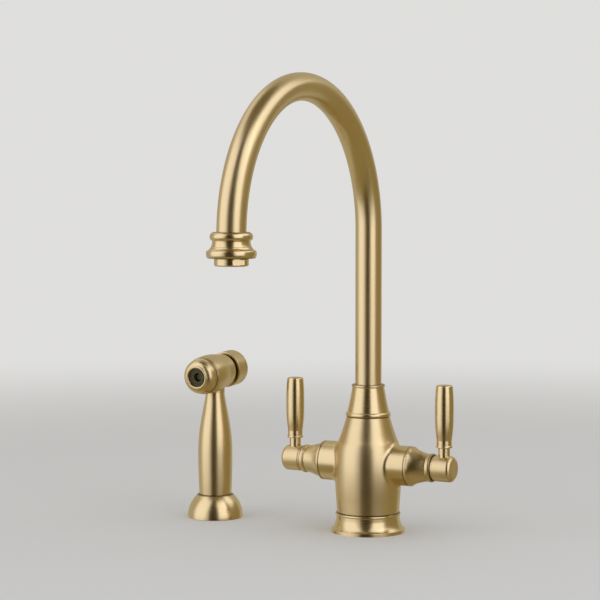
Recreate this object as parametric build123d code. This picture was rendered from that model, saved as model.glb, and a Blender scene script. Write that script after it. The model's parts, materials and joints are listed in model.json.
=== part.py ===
from build123d import *
import os
from math import cos, radians, sin, sqrt

# Side spray kitchen tap. Millimetres, +Z up. The origin is on the tap's own axis, on top of the deck.
# The spout points to -Y, the valve arms lie along X, and the side spray stands at -X.

# ---- driving dimensions -------------------------------------------------------------------
# Clearances, each measured on the radius or along the axis.
THREAD_GAP = 0.05        # between a male thread and its hole, at the crests
RUNNING_GAP = 0.05       # round a part that turns or slides in its own bore
SEAL_GAP = 0.1           # between a seal and the moving wall that it wipes
SLIP_GAP = 0.2           # round a loose part in its pocket
COVER_GAP = 0.3          # visible gap between a turning part and a fixed one

# Sink deck and what clamps it.
DECK = 30.0              # thickness of the deck that is drawn between flange and washer
SEAL_DEPTH = 2.2         # depth of the seal grooves under the flanges

# Base flange.
FLANGE_R = 31.1
FLANGE_LIP_H = 2.9
FLANGE_WAIST_R = 26.7
FLANGE_BEAD = 0.6
FLANGE_H = 16.5
FLANGE_SEAL_R = 25.8     # middle radius of the seal
FLANGE_SEAL_W = 3.6
REGISTER_R = 22.0        # spigot under the body that centres it in the flange
REGISTER_H = 3.0

# Shank through the deck.
SHANK_R = 16.4
SHANK_BORE_R = 13.8
SHANK_LENGTH = 62.0      # below the deck's top
SHANK_ENGAGE = 13.5      # length that is screwed into the body
WASHER_R = 27.0
RUBBER_WASHER_H = 3.0
STEEL_WASHER_H = 2.0
NUT_ACROSS = 46.0
NUT_H = 10.0

# Cast body.
BODY_FOOT_R = 26.2
BODY_BELLY_R = 28.2
BODY_PULL_DOWN = 15.0    # arm axis to the lower control point of the belly's curve
BODY_PULL_UP = 10.0
SHOULDER_R = 24.8
SHOULDER_Z = 77.0
NECK_R = 18.1
NECK_Z = 97.2
ARM_Z = 57.5
BRANCH_R = 16.6
BRANCH_OUT = 39.5        # tap axis to the end face of a branch
BRANCH_BLEND_R = 5.0
PORT_R = 4.5             # tapping drill of an inlet thread
PORT_DEPTH = 12.0
PORT_CIRCLE_R = 8.3      # tap axis to a port's axis
PORT_ANGLES = (150.0, 30.0, -90.0)
WATERWAY_R = 3.2
VALVE_BORE_R = 11.0
VALVE_SEAT_OUT = 22.0    # tap axis to the floor of a valve bore
VALVE_PORT_R = 5.6
VALVE_PORT_OUT = 6.0
CHAMBER_R = 12.4         # mixing chamber
CHAMBER_FLOOR_Z = 70.0
CHAMBER_TOP_Z = 80.0

# Cartridges, measured outwards from the tap axis.
CARTRIDGE_SEAL_H = 0.8
CARTRIDGE_NOSE_R = 9.4
CARTRIDGE_NOSE_H = 8.2
CARTRIDGE_HEX = 21.0
CARTRIDGE_HEX_H = 3.5
CARTRIDGE_NECK_R = 8.0
CARTRIDGE_NECK_H = 9.5
CARTRIDGE_WINDOW_R = 1.9
DISC_R = 7.8
FIXED_DISC_H = 3.0
TURNING_DISC_H = 2.4
DISC_PORT_R = 2.2
DISC_PORT_OFFSET = 3.9
CARRIER_H = 4.0
SPINDLE_R = 4.0
SPLINE_R = 3.8
SPLINE_LENGTH = 18.5

# Bonnets, measured outwards from the end of a branch.
BONNET_LIP_R = 16.5
BONNET_LIP_H = 2.1
BONNET_NOSE_R = 11.3
BONNET_NOSE_OUT = 16.4
BONNET_RING_R = 11.9
BONNET_LENGTH = 21.2
BONNET_SKIRT_WALL = 3.1
BONNET_RECESS_R = 8.9

# Hubs and levers.
HUB_R = 10.75
HUB_NECK_R = 10.2
HUB_EDGE_R = 3.7         # rounding of the outer edge
HUB_LENGTH = 17.8        # outside the bonnet
HUB_BOSS_LENGTH = 7.0    # inside the bonnet
LEVER_OUT = 69.6         # tap axis to lever axis
LEVER_SEAT_UP = 9.6      # arm axis to the flat that the lever stands on
LEVER_STEM_R = 4.8
LEVER_STEM_TOP_Z = 75.0
LEVER_SCREW_R = 2.9
LEVER_WAIST_R = 6.25
LEVER_WAIST_H = 6.0      # straight part under the swell
LEVER_SWELL_H = 15.0     # top of the stem to where the swell is full
LEVER_SWELL_PULL = 3.0
LEVER_BELLY_R = 7.75
LEVER_BELLY_Z = 105.0
LEVER_TAPER_PULL = 12.0
LEVER_TOP_R = 6.9
LEVER_TOP_Z = 126.7
GRUB_R = 1.95
GRUB_KEY = 1.5           # across the flats of the key socket
GRUB_LENGTH = 5.4

# Spout.
TUBE_R = 11.0
TUBE_BORE_R = 9.6
REACH = 227.0            # tap axis to the axis of the spout's end
SPRING_Z = 253.5         # height at which the arch leaves both legs
COLLAR_LIP_R = 18.9
COLLAR_TOP_R = 13.4
COLLAR_RING_R = 14.0
COLLAR_RING_H = 2.4
COLLAR_TOP_Z = 124.2
SPIGOT_R = 13.9
SPIGOT_BORE_R = 7.6
SPIGOT_TOP_R = 12.4      # thread that holds the collar
SPIGOT_TOP_H = 4.0
SPIGOT_SHOULDER_UP = 3.0 # above the neck
TUBE_ENGAGE = 11.0
GLIDE_RING_H = 2.2
GLIDE_RING_W = 1.7
O_RING_W = 2.2
O_RING_H = 2.4
RETAINING_Z = 92.0
RETAINING_R = 2.0
RETAINING_TIP_R = 1.2
RETAINING_GROOVE_R = 12.8

# Spout end and aerator, measured down from SPRING_Z.
END_TOP_UP = 2.7
END_BEAD_R = 15.8
END_WAIST_R = 13.9
END_STEP_R = 15.3
END_LIP_R = 18.6
END_BOTTOM = 16.5
TUBE_INSERT = 8.0
AERATOR_THREAD_R = 11.9
AERATOR_THREAD_H = 5.6
AERATOR_R = 12.7
AERATOR_BOTTOM = 22.4
AERATOR_MOUTH_R = 10.3
AERATOR_BORE_R = 9.6
AERATOR_FLAT = 11.75     # aerator axis to a spanner flat
AERATOR_FLAT_TURN = 33.0 # turn of the flats from the X axis, in degrees
AERATOR_WASHER_H = 1.8
AERATOR_CELL_R = 1.2
AERATOR_CELL_PITCH = 3.1

# Diverter between the mixing chamber and the spout.
DIVERTER_BORE_R = 6.2
DIVERTER_WAIST_R = 9.0
DIVERTER_FOOT_H = 1.2
DIVERTER_LIP_R = 4.4
DIVERTER_LIP_H = 1.6
DIVERTER_H = 9.4
DIVERTER_WINDOW_R = 1.6
DIVERTER_WINDOWS = 6
DIVERTER_TRAVEL = 2.0
PISTON_GUIDE_H = 2.0
PISTON_HEAD_R = 5.5
PISTON_HEAD_H = 1.8
PISTON_STEM_R = 1.8
PISTON_HOLE_R = 0.9
PISTON_HOLES = 4

# Side spray base.
SPRAY_X = -149.5
SPRAY_BASE_R = 24.2
SPRAY_BASE_MOUTH_R = 15.4
SPRAY_BASE_H = 20.0
SPRAY_SEAL_R = 19.0
SPRAY_SEAL_W = 3.0
SPRAY_SHANK_R = 13.4
SPRAY_SHANK_BORE_R = 11.5
SPRAY_SHANK_ENGAGE = 8.0
SPRAY_SHANK_LENGTH = 46.0
SPRAY_WASHER_R = 22.0
SPRAY_WASHER_H = 2.5
SPRAY_NUT_ACROSS = 36.0
SPRAY_NUT_H = 7.0
BUSH_BORE_R = 8.6
BUSH_FLANGE_H = 2.0
BUSH_LENGTH = 27.0

# Hose coupling and handle.
HANDLE_SEAT_Z = 17.0
HANDLE_FOOT_R = 13.9
HANDLE_BELLY_R = 15.0
HANDLE_BELLY_Z = 56.0
HANDLE_FOOT_PULL = 26.0  # belly down to the first control point of the grip's lower curve
HANDLE_BELLY_PULL = 12.0
HANDLE_TAPER_PULL = 24.0
HANDLE_NECK_PULL = 15.0
HANDLE_NECK_R = 8.1
HANDLE_TOP_Z = 109.6
HANDLE_BORE_R = 5.0
HANDLE_SPIGOT_R = 7.0
HANDLE_SPIGOT_H = 5.5
COUPLING_NUT_R = 10.5
COUPLING_NUT_H = 4.0
COUPLING_FLANGE_R = 8.8
COUPLING_FLANGE_H = 2.5
COUPLING_SPIGOT_R = 5.45
COUPLING_SPIGOT_H = 8.5
COUPLING_SHANK_R = 6.4
HOSE_THREAD_R = 6.0
HOSE_THREAD_H = 14.0
COUPLING_BORE_R = 3.5
COUPLING_DROP = 25.0     # handle seat down to the coupling's lower end

# Spray head, measured forwards from the handle's axis along the head's own axis.
HEAD_Z = 127.2
HEAD_TILT = 3.6          # nose down, in degrees
BARREL_R = 16.7          # at the middle of the barrel, where it swells
BARREL_SWELL = 0.7       # middle of the barrel proud of its two ends
BARREL_FRONT = 20.4
HEAD_BEAD_R = 16.0
HEAD_BEAD_H = 1.9
HEAD_THREAD_R = 13.5
HEAD_THREAD_H = 4.6
HEAD_COLLAR_R = 14.5
HEAD_COLLAR_BACK = 11.6
HEAD_NECK_R = 12.4
HEAD_NECK_BACK = 21.0
FRONT_CHAMBER_R = 11.0
VALVE_FACE = 6.0
VALVE_WALL = 3.0
VALVE_HOLE_R = 5.0
REAR_CHAMBER_R = 7.5
REAR_CHAMBER_BACK = 12.0
HEAD_BOSS_R = 8.3
NOSE_FRONT = 32.3
NOSE_BACK_R = 15.4
NOSE_BAND_H = 2.1        # plain band at the back of the nose
NOSE_BAND_STEP = 0.3
NOSE_SHOULDER_R = 12.2
NOSE_LIP_FOOT_R = 10.1   # crease between the shoulder and the rounded lip
NOSE_LIP_FOOT_BACK = 0.9 # front of the lip back to the crease
NOSE_MOUTH_R = 8.1
NOSE_LIP_H = 2.8
ROSE_R = 10.6
ROSE_H = 2.4
ROSE_BOSS_R = 5.1
ROSE_BOSS_H = 3.8
ROSE_PIT_R = 4.0
ROSE_PIT_DEPTH = 4.6
ROSE_PLUG_R = 2.9
ROSE_PLUG_H = 1.2
ROSE_PLUG_STEM_R = 1.6
ROSE_HOLE_R = 0.5
ROSE_HOLES = 16
ROSE_HOLE_CIRCLE_R = 5.9

# Push button.
BUTTON_LENGTH = 16.7
BUTTON_STOP_GAP = 0.9    # left in front of the button when it is pressed home
BUTTON_R = 15.7
BUTTON_WALL = 2.0
BUTTON_EDGE_R = 2.4
BUTTON_POCKET_R = 7.5
BUTTON_BACK_WALL = 2.6
BUTTON_STEM_R = 2.9
BUTTON_TRAVEL = 3.5
VALVE_SEAL_R = 6.6
VALVE_SEAL_H = 2.3
STEM_HEAD_R = 4.4
STEM_HEAD_H = 1.4
STEM_SEAL_BACK = 16.0
STEM_SEAL_R = 4.8
STEM_SEAL_H = 2.2
SPRING_R = 5.2
SPRING_WIRE = 0.9


# ---- helpers ------------------------------------------------------------------------------
def turned(start, *steps):
    """Solid turned about Z from an outline of (radius, height) points.

    A step that is a point is a straight run to it. A step that is a list holds the control points of a
    curve and then its end.
    """
    edges = []
    here = start
    for step in steps + (start,):
        run = step if isinstance(step, list) else [step]
        points = [Vector(r, 0, z) for r, z in [here, *run]]
        edges.append(Line(*points) if len(points) == 2 else Bezier(*points))
        here = run[-1]
    return revolve(make_face(edges), Axis.Z)


def ring(inner_r, outer_r, low, high):
    """Plain ring, or a disc where the inner radius is nothing."""
    return turned((inner_r, low), (outer_r, low), (outer_r, high), (inner_r, high))


def rod(radius, low, high):
    """Cylinder about Z between two heights."""
    return Pos(0, 0, low) * Cylinder(radius, high - low, align=(Align.CENTER, Align.CENTER, Align.MIN))


def hexagon(across, low, high):
    """Hexagonal bar about Z between two heights."""
    return Pos(0, 0, low) * extrude(RegularPolygon(across / 2, 6, major_radius=False), high - low)


def drilled(start, end, radius):
    """Round hole from one point to another."""
    run = Vector(*end) - Vector(*start)
    return extrude(Plane(origin=start, z_dir=run) * Circle(radius), run.length)


def bead(radius, low, high, proud):
    """Control points of a round bead that goes from low to high and stands proud of a radius."""
    reach = radius + proud * 4 / 3
    return [(reach, low), (reach, high), (radius, high)]


def arm_frame(side):
    """Frame of one valve arm: Z runs outwards along the arm, X is up. Side is -1 at left, 1 at right."""
    return Plane(origin=(0, 0, ARM_Z), x_dir=(0, 0, 1), z_dir=(side, 0, 0)).location


HEAD_FRAME = Plane(
    origin=(SPRAY_X, 0, HEAD_Z),
    x_dir=(1, 0, 0),
    z_dir=(0, -cos(radians(HEAD_TILT)), -sin(radians(HEAD_TILT))),
).location
SPRAY_PLACE = Pos(SPRAY_X, 0, 0)
SPOUT_END_PLACE = Pos(0, -REACH, SPRING_Z)


# ---- under the tap ------------------------------------------------------------------------
def seal_groove(middle_r, width):
    return ring(middle_r - width / 2, middle_r + width / 2, 0, SEAL_DEPTH)


def base_flange():
    bore_r = SHANK_R + 1.0
    waist_z = FLANGE_H * 0.7
    bead_low = FLANGE_H - 2.4
    body = turned(
        (bore_r, 0),
        (FLANGE_R, 0),
        (FLANGE_R, FLANGE_LIP_H - 0.4),
        [(FLANGE_R, FLANGE_LIP_H), (FLANGE_R - 0.5, FLANGE_LIP_H)],
        [
            (FLANGE_WAIST_R + 1.2, FLANGE_LIP_H + 2.2),
            (FLANGE_WAIST_R, waist_z - 2),
            (FLANGE_WAIST_R, waist_z),
        ],
        (FLANGE_WAIST_R, bead_low),
        bead(FLANGE_WAIST_R, bead_low, FLANGE_H - 0.3, FLANGE_BEAD),
        (FLANGE_WAIST_R - 0.3, FLANGE_H),
        (bore_r, FLANGE_H),
    )
    body -= rod(REGISTER_R + SLIP_GAP, FLANGE_H - REGISTER_H - SLIP_GAP, FLANGE_H)
    return body - seal_groove(FLANGE_SEAL_R, FLANGE_SEAL_W)


def base_seal():
    return seal_groove(FLANGE_SEAL_R, FLANGE_SEAL_W - 2 * SLIP_GAP)


def mounting_shank():
    top = FLANGE_H - REGISTER_H + SHANK_ENGAGE
    return ring(SHANK_BORE_R, SHANK_R, -SHANK_LENGTH, top)


def rubber_washer():
    return ring(SHANK_R + SLIP_GAP, WASHER_R, -DECK - RUBBER_WASHER_H, -DECK)


def steel_washer():
    top = -DECK - RUBBER_WASHER_H
    return ring(SHANK_R + SLIP_GAP, WASHER_R, top - STEEL_WASHER_H, top)


def back_nut():
    top = -DECK - RUBBER_WASHER_H - STEEL_WASHER_H
    return hexagon(NUT_ACROSS, top - NUT_H, top) - rod(SHANK_R + THREAD_GAP, top - NUT_H, top)


# ---- body ---------------------------------------------------------------------------------
def body_outside():
    """Vase with two branches and the blends between them."""
    vase = turned(
        (0, FLANGE_H),
        (BODY_FOOT_R - 0.4, FLANGE_H),
        (BODY_FOOT_R, FLANGE_H + 0.4),
        (BODY_FOOT_R + 0.6, FLANGE_H + 10),
        [
            (BODY_BELLY_R - 0.2, ARM_Z - BODY_PULL_DOWN),
            (BODY_BELLY_R + 1.4, ARM_Z + BODY_PULL_UP),
            (SHOULDER_R, SHOULDER_Z),
        ],
        [
            (SHOULDER_R - 2.3, SHOULDER_Z + 4.8),
            (NECK_R + 2.1, NECK_Z - 6.7),
            (NECK_R, NECK_Z - 0.2),
        ],
        (NECK_R - 0.2, NECK_Z),
        (0, NECK_Z),
    )
    branches = [arm_frame(side) * rod(BRANCH_R, 0, BRANCH_OUT) for side in (-1, 1)]
    whole = vase + branches
    seams = [
        edge for edge in whole.edges()
        if edge.geom_type != GeomType.CIRCLE and abs(edge.center().Z - ARM_Z) < BRANCH_R + 1
        and BRANCH_R * 0.9 < edge.bounding_box().size.Z < BRANCH_R * 2.2 and abs(edge.center().X) > BRANCH_R
    ]
    whole = fillet(seams, BRANCH_BLEND_R)
    ends = [
        edge for edge in whole.edges().filter_by(GeomType.CIRCLE)
        if abs(abs(edge.arc_center.X) - BRANCH_OUT) < 0.01
    ]
    return chamfer(ends, 0.3)


def port_places():
    """Places of the two supply ports and the spray port, round the tap axis."""
    return [
        (PORT_CIRCLE_R * cos(radians(angle)), PORT_CIRCLE_R * sin(radians(angle)))
        for angle in PORT_ANGLES
    ]


def body():
    socket_low = FLANGE_H - REGISTER_H
    socket_top = socket_low + SHANK_ENGAGE
    solid = body_outside() + rod(REGISTER_R, socket_low, FLANGE_H)
    solid -= rod(SHANK_R + THREAD_GAP, socket_low, socket_top)
    left, right, spray = port_places()
    for x, y in (left, right, spray):
        solid -= Pos(x, y) * rod(PORT_R, socket_top, socket_top + PORT_DEPTH)
    for x, y in (left, right):
        solid -= Pos(x, y) * rod(WATERWAY_R, socket_top, ARM_Z)
    sprayway_r = WATERWAY_R * 0.8
    solid -= drilled((*spray, socket_top + PORT_DEPTH - 2), (0, -sprayway_r, CHAMBER_FLOOR_Z), sprayway_r)
    for side in (-1, 1):
        solid -= arm_frame(side) * rod(VALVE_BORE_R, VALVE_SEAT_OUT, BRANCH_OUT)
        solid -= arm_frame(side) * rod(VALVE_PORT_R, VALVE_PORT_OUT, VALVE_SEAT_OUT)
        low = (side * (VALVE_SEAT_OUT + WATERWAY_R), 0, ARM_Z + VALVE_BORE_R - WATERWAY_R)
        high = (side * CHAMBER_R * 0.7, 0, CHAMBER_FLOOR_Z + WATERWAY_R * 1.6)
        solid -= drilled(low, high, WATERWAY_R * 0.8)
    seat_z = NECK_Z - GLIDE_RING_H
    solid -= rod(CHAMBER_R + THREAD_GAP, CHAMBER_FLOOR_Z, CHAMBER_TOP_Z)
    solid -= rod(SPIGOT_R + RUNNING_GAP, CHAMBER_TOP_Z, NECK_Z)
    solid -= rod(SPIGOT_R + GLIDE_RING_W + 2 * SLIP_GAP, seat_z, NECK_Z)
    return solid - drilled((0, SPIGOT_R - 1, RETAINING_Z), (0, BODY_BELLY_R, RETAINING_Z), RETAINING_R)


def retaining_screw():
    """Grub screw in the back of the neck. Its tip rides in the spigot's groove and keeps the spout in."""
    neck_slope = (SHOULDER_R - NECK_R) / (NECK_Z - SHOULDER_Z)
    wall_r = NECK_R + neck_slope * (NECK_Z - RETAINING_Z) - 1
    tip_r = RETAINING_GROOVE_R + COVER_GAP
    screw = drilled((0, SPIGOT_R + SLIP_GAP, RETAINING_Z), (0, wall_r, RETAINING_Z), RETAINING_R - THREAD_GAP)
    screw += drilled((0, tip_r, RETAINING_Z), (0, SPIGOT_R + 1, RETAINING_Z), RETAINING_TIP_R)
    socket = Plane(origin=(0, wall_r, RETAINING_Z), x_dir=(1, 0, 0), z_dir=(0, -1, 0))
    return screw - extrude(socket * RegularPolygon(GRUB_KEY / 2, 6, major_radius=False), 1.8)


def glide_ring():
    low = NECK_Z - GLIDE_RING_H
    inner_r = SPIGOT_R + SLIP_GAP
    return ring(inner_r, inner_r + GLIDE_RING_W, low, NECK_Z + SLIP_GAP)


# ---- valves, each drawn in its arm's frame --------------------------------------------------
SEAT_OUT = VALVE_SEAT_OUT + CARTRIDGE_SEAL_H       # where the cartridge starts
TURNING_OUT = SEAT_OUT + FIXED_DISC_H              # where the turning disc starts
CARRIER_OUT = TURNING_OUT + TURNING_DISC_H         # where the spindle starts
CARTRIDGE_TOP_OUT = BRANCH_OUT + CARTRIDGE_HEX_H + CARTRIDGE_NECK_H
HUB_OUT = BRANCH_OUT + BONNET_LENGTH + COVER_GAP   # where the hub shows
BOSS_OUT = HUB_OUT - HUB_BOSS_LENGTH               # where the hub's boss starts
SPLINE_OUT = BOSS_OUT - SLIP_GAP
SPLINE_END_OUT = SPLINE_OUT + SPLINE_LENGTH


def disc_ports(low, high, turn):
    return [
        Rot(0, 0, turn) * Pos(x, 0) * rod(DISC_PORT_R, low, high)
        for x in (-DISC_PORT_OFFSET, DISC_PORT_OFFSET)
    ]


def cartridge_seal():
    return ring(VALVE_PORT_R + SLIP_GAP, CARTRIDGE_NOSE_R, VALVE_SEAT_OUT, SEAT_OUT)


def cartridge_body():
    cavity_end = CARRIER_OUT + CARRIER_H + SLIP_GAP
    shell = rod(CARTRIDGE_NOSE_R, SEAT_OUT, SEAT_OUT + CARTRIDGE_NOSE_H)
    shell += rod(VALVE_BORE_R - THREAD_GAP, SEAT_OUT + CARTRIDGE_NOSE_H, BRANCH_OUT)
    shell += hexagon(CARTRIDGE_HEX, BRANCH_OUT, BRANCH_OUT + CARTRIDGE_HEX_H)
    shell += rod(CARTRIDGE_NECK_R, BRANCH_OUT, CARTRIDGE_TOP_OUT)
    shell -= rod(DISC_R + SLIP_GAP, SEAT_OUT, cavity_end)
    shell -= rod(SPINDLE_R + RUNNING_GAP, SEAT_OUT, CARTRIDGE_TOP_OUT)
    window_out = TURNING_OUT + TURNING_DISC_H / 2
    for turn in (0, 90):
        across = Plane(origin=(0, 0, window_out), z_dir=(1, 0, 0)).location
        shell -= Rot(0, 0, turn) * across * rod(CARTRIDGE_WINDOW_R, -VALVE_BORE_R, VALVE_BORE_R)
    return shell


def fixed_disc():
    return rod(DISC_R, SEAT_OUT, TURNING_OUT) - disc_ports(SEAT_OUT, TURNING_OUT, 0)


def turning_disc():
    return rod(DISC_R, TURNING_OUT, CARRIER_OUT) - disc_ports(TURNING_OUT, CARRIER_OUT, 90)


def spindle():
    shaft = rod(DISC_R - SLIP_GAP, CARRIER_OUT, CARRIER_OUT + CARRIER_H)
    shaft += rod(SPINDLE_R, CARRIER_OUT, SPLINE_OUT)
    return shaft + rod(SPLINE_R, SPLINE_OUT, SPLINE_END_OUT)


def bonnet():
    """Tapered cover that is screwed onto the cartridge's neck and hides its hexagon."""
    lip_out = BRANCH_OUT + BONNET_LIP_H
    nose_out = BRANCH_OUT + BONNET_NOSE_OUT
    end_out = BRANCH_OUT + BONNET_LENGTH
    hex_r = BONNET_LIP_R - BONNET_SKIRT_WALL
    hex_out = BRANCH_OUT + CARTRIDGE_HEX_H + SLIP_GAP
    cone_r = BONNET_LIP_R - 0.4
    return turned(
        (hex_r, BRANCH_OUT),
        (BONNET_LIP_R - 0.3, BRANCH_OUT),
        [(BONNET_LIP_R, BRANCH_OUT), (BONNET_LIP_R, BRANCH_OUT + 0.4)],
        (BONNET_LIP_R, lip_out - 0.5),
        [(BONNET_LIP_R, lip_out), (cone_r, lip_out)],
        [(cone_r - 2.5, lip_out + 3.2), (BONNET_NOSE_R + 0.8, nose_out - 4), (BONNET_NOSE_R, nose_out - 0.3)],
        (BONNET_NOSE_R - 0.2, nose_out + 0.4),
        bead(BONNET_NOSE_R - 0.2, nose_out + 0.5, end_out - 0.2, BONNET_RING_R - BONNET_NOSE_R + 0.2),
        (BONNET_NOSE_R - 0.5, end_out),
        (BONNET_RECESS_R, end_out),
        (BONNET_RECESS_R, CARTRIDGE_TOP_OUT),
        (CARTRIDGE_NECK_R + THREAD_GAP, CARTRIDGE_TOP_OUT),
        (CARTRIDGE_NECK_R + THREAD_GAP, hex_out),
        (hex_r, hex_out),
    )


def hub():
    """Turning cap on the splined spindle. It carries the lever."""
    end_out = HUB_OUT + HUB_LENGTH
    barrel = turned(
        (0, BOSS_OUT),
        (BONNET_RECESS_R - COVER_GAP, BOSS_OUT),
        (BONNET_RECESS_R - COVER_GAP, HUB_OUT),
        (HUB_NECK_R, HUB_OUT),
        (HUB_NECK_R, HUB_OUT + 1.3),
        [(HUB_R, HUB_OUT + 1.3), (HUB_R, HUB_OUT + 2.1)],
        (HUB_R, end_out - HUB_EDGE_R),
        [
            (HUB_R, end_out - HUB_EDGE_R * 0.45),
            (HUB_R - HUB_EDGE_R * 0.55, end_out),
            (HUB_R - HUB_EDGE_R, end_out),
        ],
        (0, end_out),
    )
    barrel -= rod(SPLINE_R + THREAD_GAP, BOSS_OUT, SPLINE_END_OUT + SLIP_GAP)
    lever_hole = Plane(origin=(0, 0, LEVER_OUT), z_dir=(1, 0, 0)).location
    barrel -= lever_hole * rod(LEVER_SCREW_R + THREAD_GAP, 0, HUB_R + 1)
    barrel -= lever_hole * rod(LEVER_STEM_R + THREAD_GAP, LEVER_SEAT_UP, HUB_R + 1)
    return barrel - lever_hole * rod(GRUB_R + THREAD_GAP, -HUB_R - 1, 0)


def grub_screw():
    """Screw under the hub that bites on the spindle."""
    along = Plane(origin=(0, 0, LEVER_OUT), z_dir=(-1, 0, 0)).location
    end = SPLINE_R + GRUB_LENGTH
    key = extrude(RegularPolygon(GRUB_KEY / 2, 6, major_radius=False), 2)
    return along * (rod(GRUB_R, SPLINE_R, end) - Pos(0, 0, end - 2) * key)


def lever(side):
    """Lever that stands on the hub. Its foot is screwed into the hub above the spindle."""
    foot_z = ARM_Z + LEVER_SEAT_UP
    grip_z = LEVER_STEM_TOP_Z
    return Pos(side * LEVER_OUT, 0, 0) * turned(
        (0, ARM_Z + SPLINE_R + COVER_GAP),
        (LEVER_SCREW_R, ARM_Z + SPLINE_R + COVER_GAP),
        (LEVER_SCREW_R, foot_z),
        (LEVER_STEM_R, foot_z),
        (LEVER_STEM_R, grip_z),
        (LEVER_WAIST_R + 0.2, grip_z),
        [
            (LEVER_WAIST_R + 0.7, grip_z + 0.2),
            (LEVER_WAIST_R + 0.6, grip_z + 1.5),
            (LEVER_WAIST_R, grip_z + 1.9),
        ],
        (LEVER_WAIST_R, grip_z + LEVER_WAIST_H),
        [
            (LEVER_WAIST_R + 0.7, grip_z + LEVER_SWELL_H - LEVER_SWELL_PULL),
            (LEVER_BELLY_R, grip_z + LEVER_SWELL_H),
            (LEVER_BELLY_R, LEVER_BELLY_Z),
        ],
        [
            (LEVER_BELLY_R, LEVER_BELLY_Z + LEVER_TAPER_PULL),
            (LEVER_TOP_R + 0.4, LEVER_TOP_Z - 6),
            (LEVER_TOP_R, LEVER_TOP_Z - 1.8),
        ],
        [(LEVER_TOP_R - 0.1, LEVER_TOP_Z), (LEVER_TOP_R - 2, LEVER_TOP_Z)],
        (0, LEVER_TOP_Z),
    )


# ---- spout --------------------------------------------------------------------------------
SHOULDER_TOP_Z = NECK_Z + SPIGOT_SHOULDER_UP       # top of the spigot's wide part
TUBE_FOOT_Z = SHOULDER_TOP_Z + SPIGOT_TOP_H        # lower end of the spout tube
SPIGOT_FOOT_Z = CHAMBER_TOP_Z + COVER_GAP
COLLAR_FOOT_Z = NECK_Z + SLIP_GAP


def spout_tube():
    arch_r = REACH / 2
    path = Wire([
        Edge.make_line((0, 0, TUBE_FOOT_Z), (0, 0, SPRING_Z)),
        Edge.make_three_point_arc((0, 0, SPRING_Z), (0, -arch_r, SPRING_Z + arch_r), (0, -REACH, SPRING_Z)),
        Edge.make_line((0, -REACH, SPRING_Z), (0, -REACH, SPRING_Z - TUBE_INSERT)),
    ])
    section = Pos(0, 0, TUBE_FOOT_Z) * (Circle(TUBE_R) - Circle(TUBE_BORE_R))
    return sweep(section, path)


def o_ring_heights():
    """Middle heights of the two spigot seals."""
    return (SPIGOT_FOOT_Z + 2.6, SPIGOT_FOOT_Z + 7.0)


def spigot():
    """Brass bush brazed into the tube. It turns in the body."""
    body_part = rod(SPIGOT_R, SPIGOT_FOOT_Z, SHOULDER_TOP_Z)
    body_part += rod(SPIGOT_TOP_R, SHOULDER_TOP_Z, TUBE_FOOT_Z)
    body_part += rod(TUBE_BORE_R - THREAD_GAP, TUBE_FOOT_Z, TUBE_FOOT_Z + TUBE_ENGAGE)
    body_part -= rod(SPIGOT_BORE_R, SPIGOT_FOOT_Z, TUBE_FOOT_Z + TUBE_ENGAGE)
    groove_r = SPIGOT_R - O_RING_W
    for middle in o_ring_heights():
        body_part -= ring(groove_r, SPIGOT_R + 1, middle - O_RING_H / 2, middle + O_RING_H / 2)
    half = RETAINING_TIP_R + COVER_GAP
    return body_part - ring(RETAINING_GROOVE_R, SPIGOT_R + 1, RETAINING_Z - half, RETAINING_Z + half)


def spigot_seals():
    inner_r = SPIGOT_R - O_RING_W
    outer_r = SPIGOT_R + RUNNING_GAP - SEAL_GAP
    half = O_RING_H / 2 - SLIP_GAP
    return Compound(children=[ring(inner_r, outer_r, z - half, z + half).solid() for z in o_ring_heights()])


def upper_collar():
    """Cone at the foot of the spout. It is screwed onto the spigot and turns with the spout."""
    lip_r = COLLAR_LIP_R
    ring_low = COLLAR_TOP_Z - COLLAR_RING_H
    return turned(
        (SPIGOT_R + SLIP_GAP, COLLAR_FOOT_Z),
        (lip_r - 0.7, COLLAR_FOOT_Z),
        [(lip_r, COLLAR_FOOT_Z + 0.2), (lip_r, COLLAR_FOOT_Z + 1.6)],
        [(lip_r, COLLAR_FOOT_Z + 3), (lip_r - 1.3, COLLAR_FOOT_Z + 3.8)],
        [
            (lip_r - 2.6, COLLAR_FOOT_Z + 8.4),
            (COLLAR_TOP_R + 1.5, ring_low - 9),
            (COLLAR_TOP_R, ring_low),
        ],
        bead(COLLAR_TOP_R, ring_low, COLLAR_TOP_Z - 0.2, COLLAR_RING_R - COLLAR_TOP_R),
        (COLLAR_TOP_R - 0.2, COLLAR_TOP_Z),
        (TUBE_R + THREAD_GAP, COLLAR_TOP_Z),
        (TUBE_R + THREAD_GAP, TUBE_FOOT_Z),
        (SPIGOT_TOP_R + THREAD_GAP, TUBE_FOOT_Z),
        (SPIGOT_TOP_R + THREAD_GAP, SHOULDER_TOP_Z),
        (SPIGOT_R + SLIP_GAP, SHOULDER_TOP_Z),
    )


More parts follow.
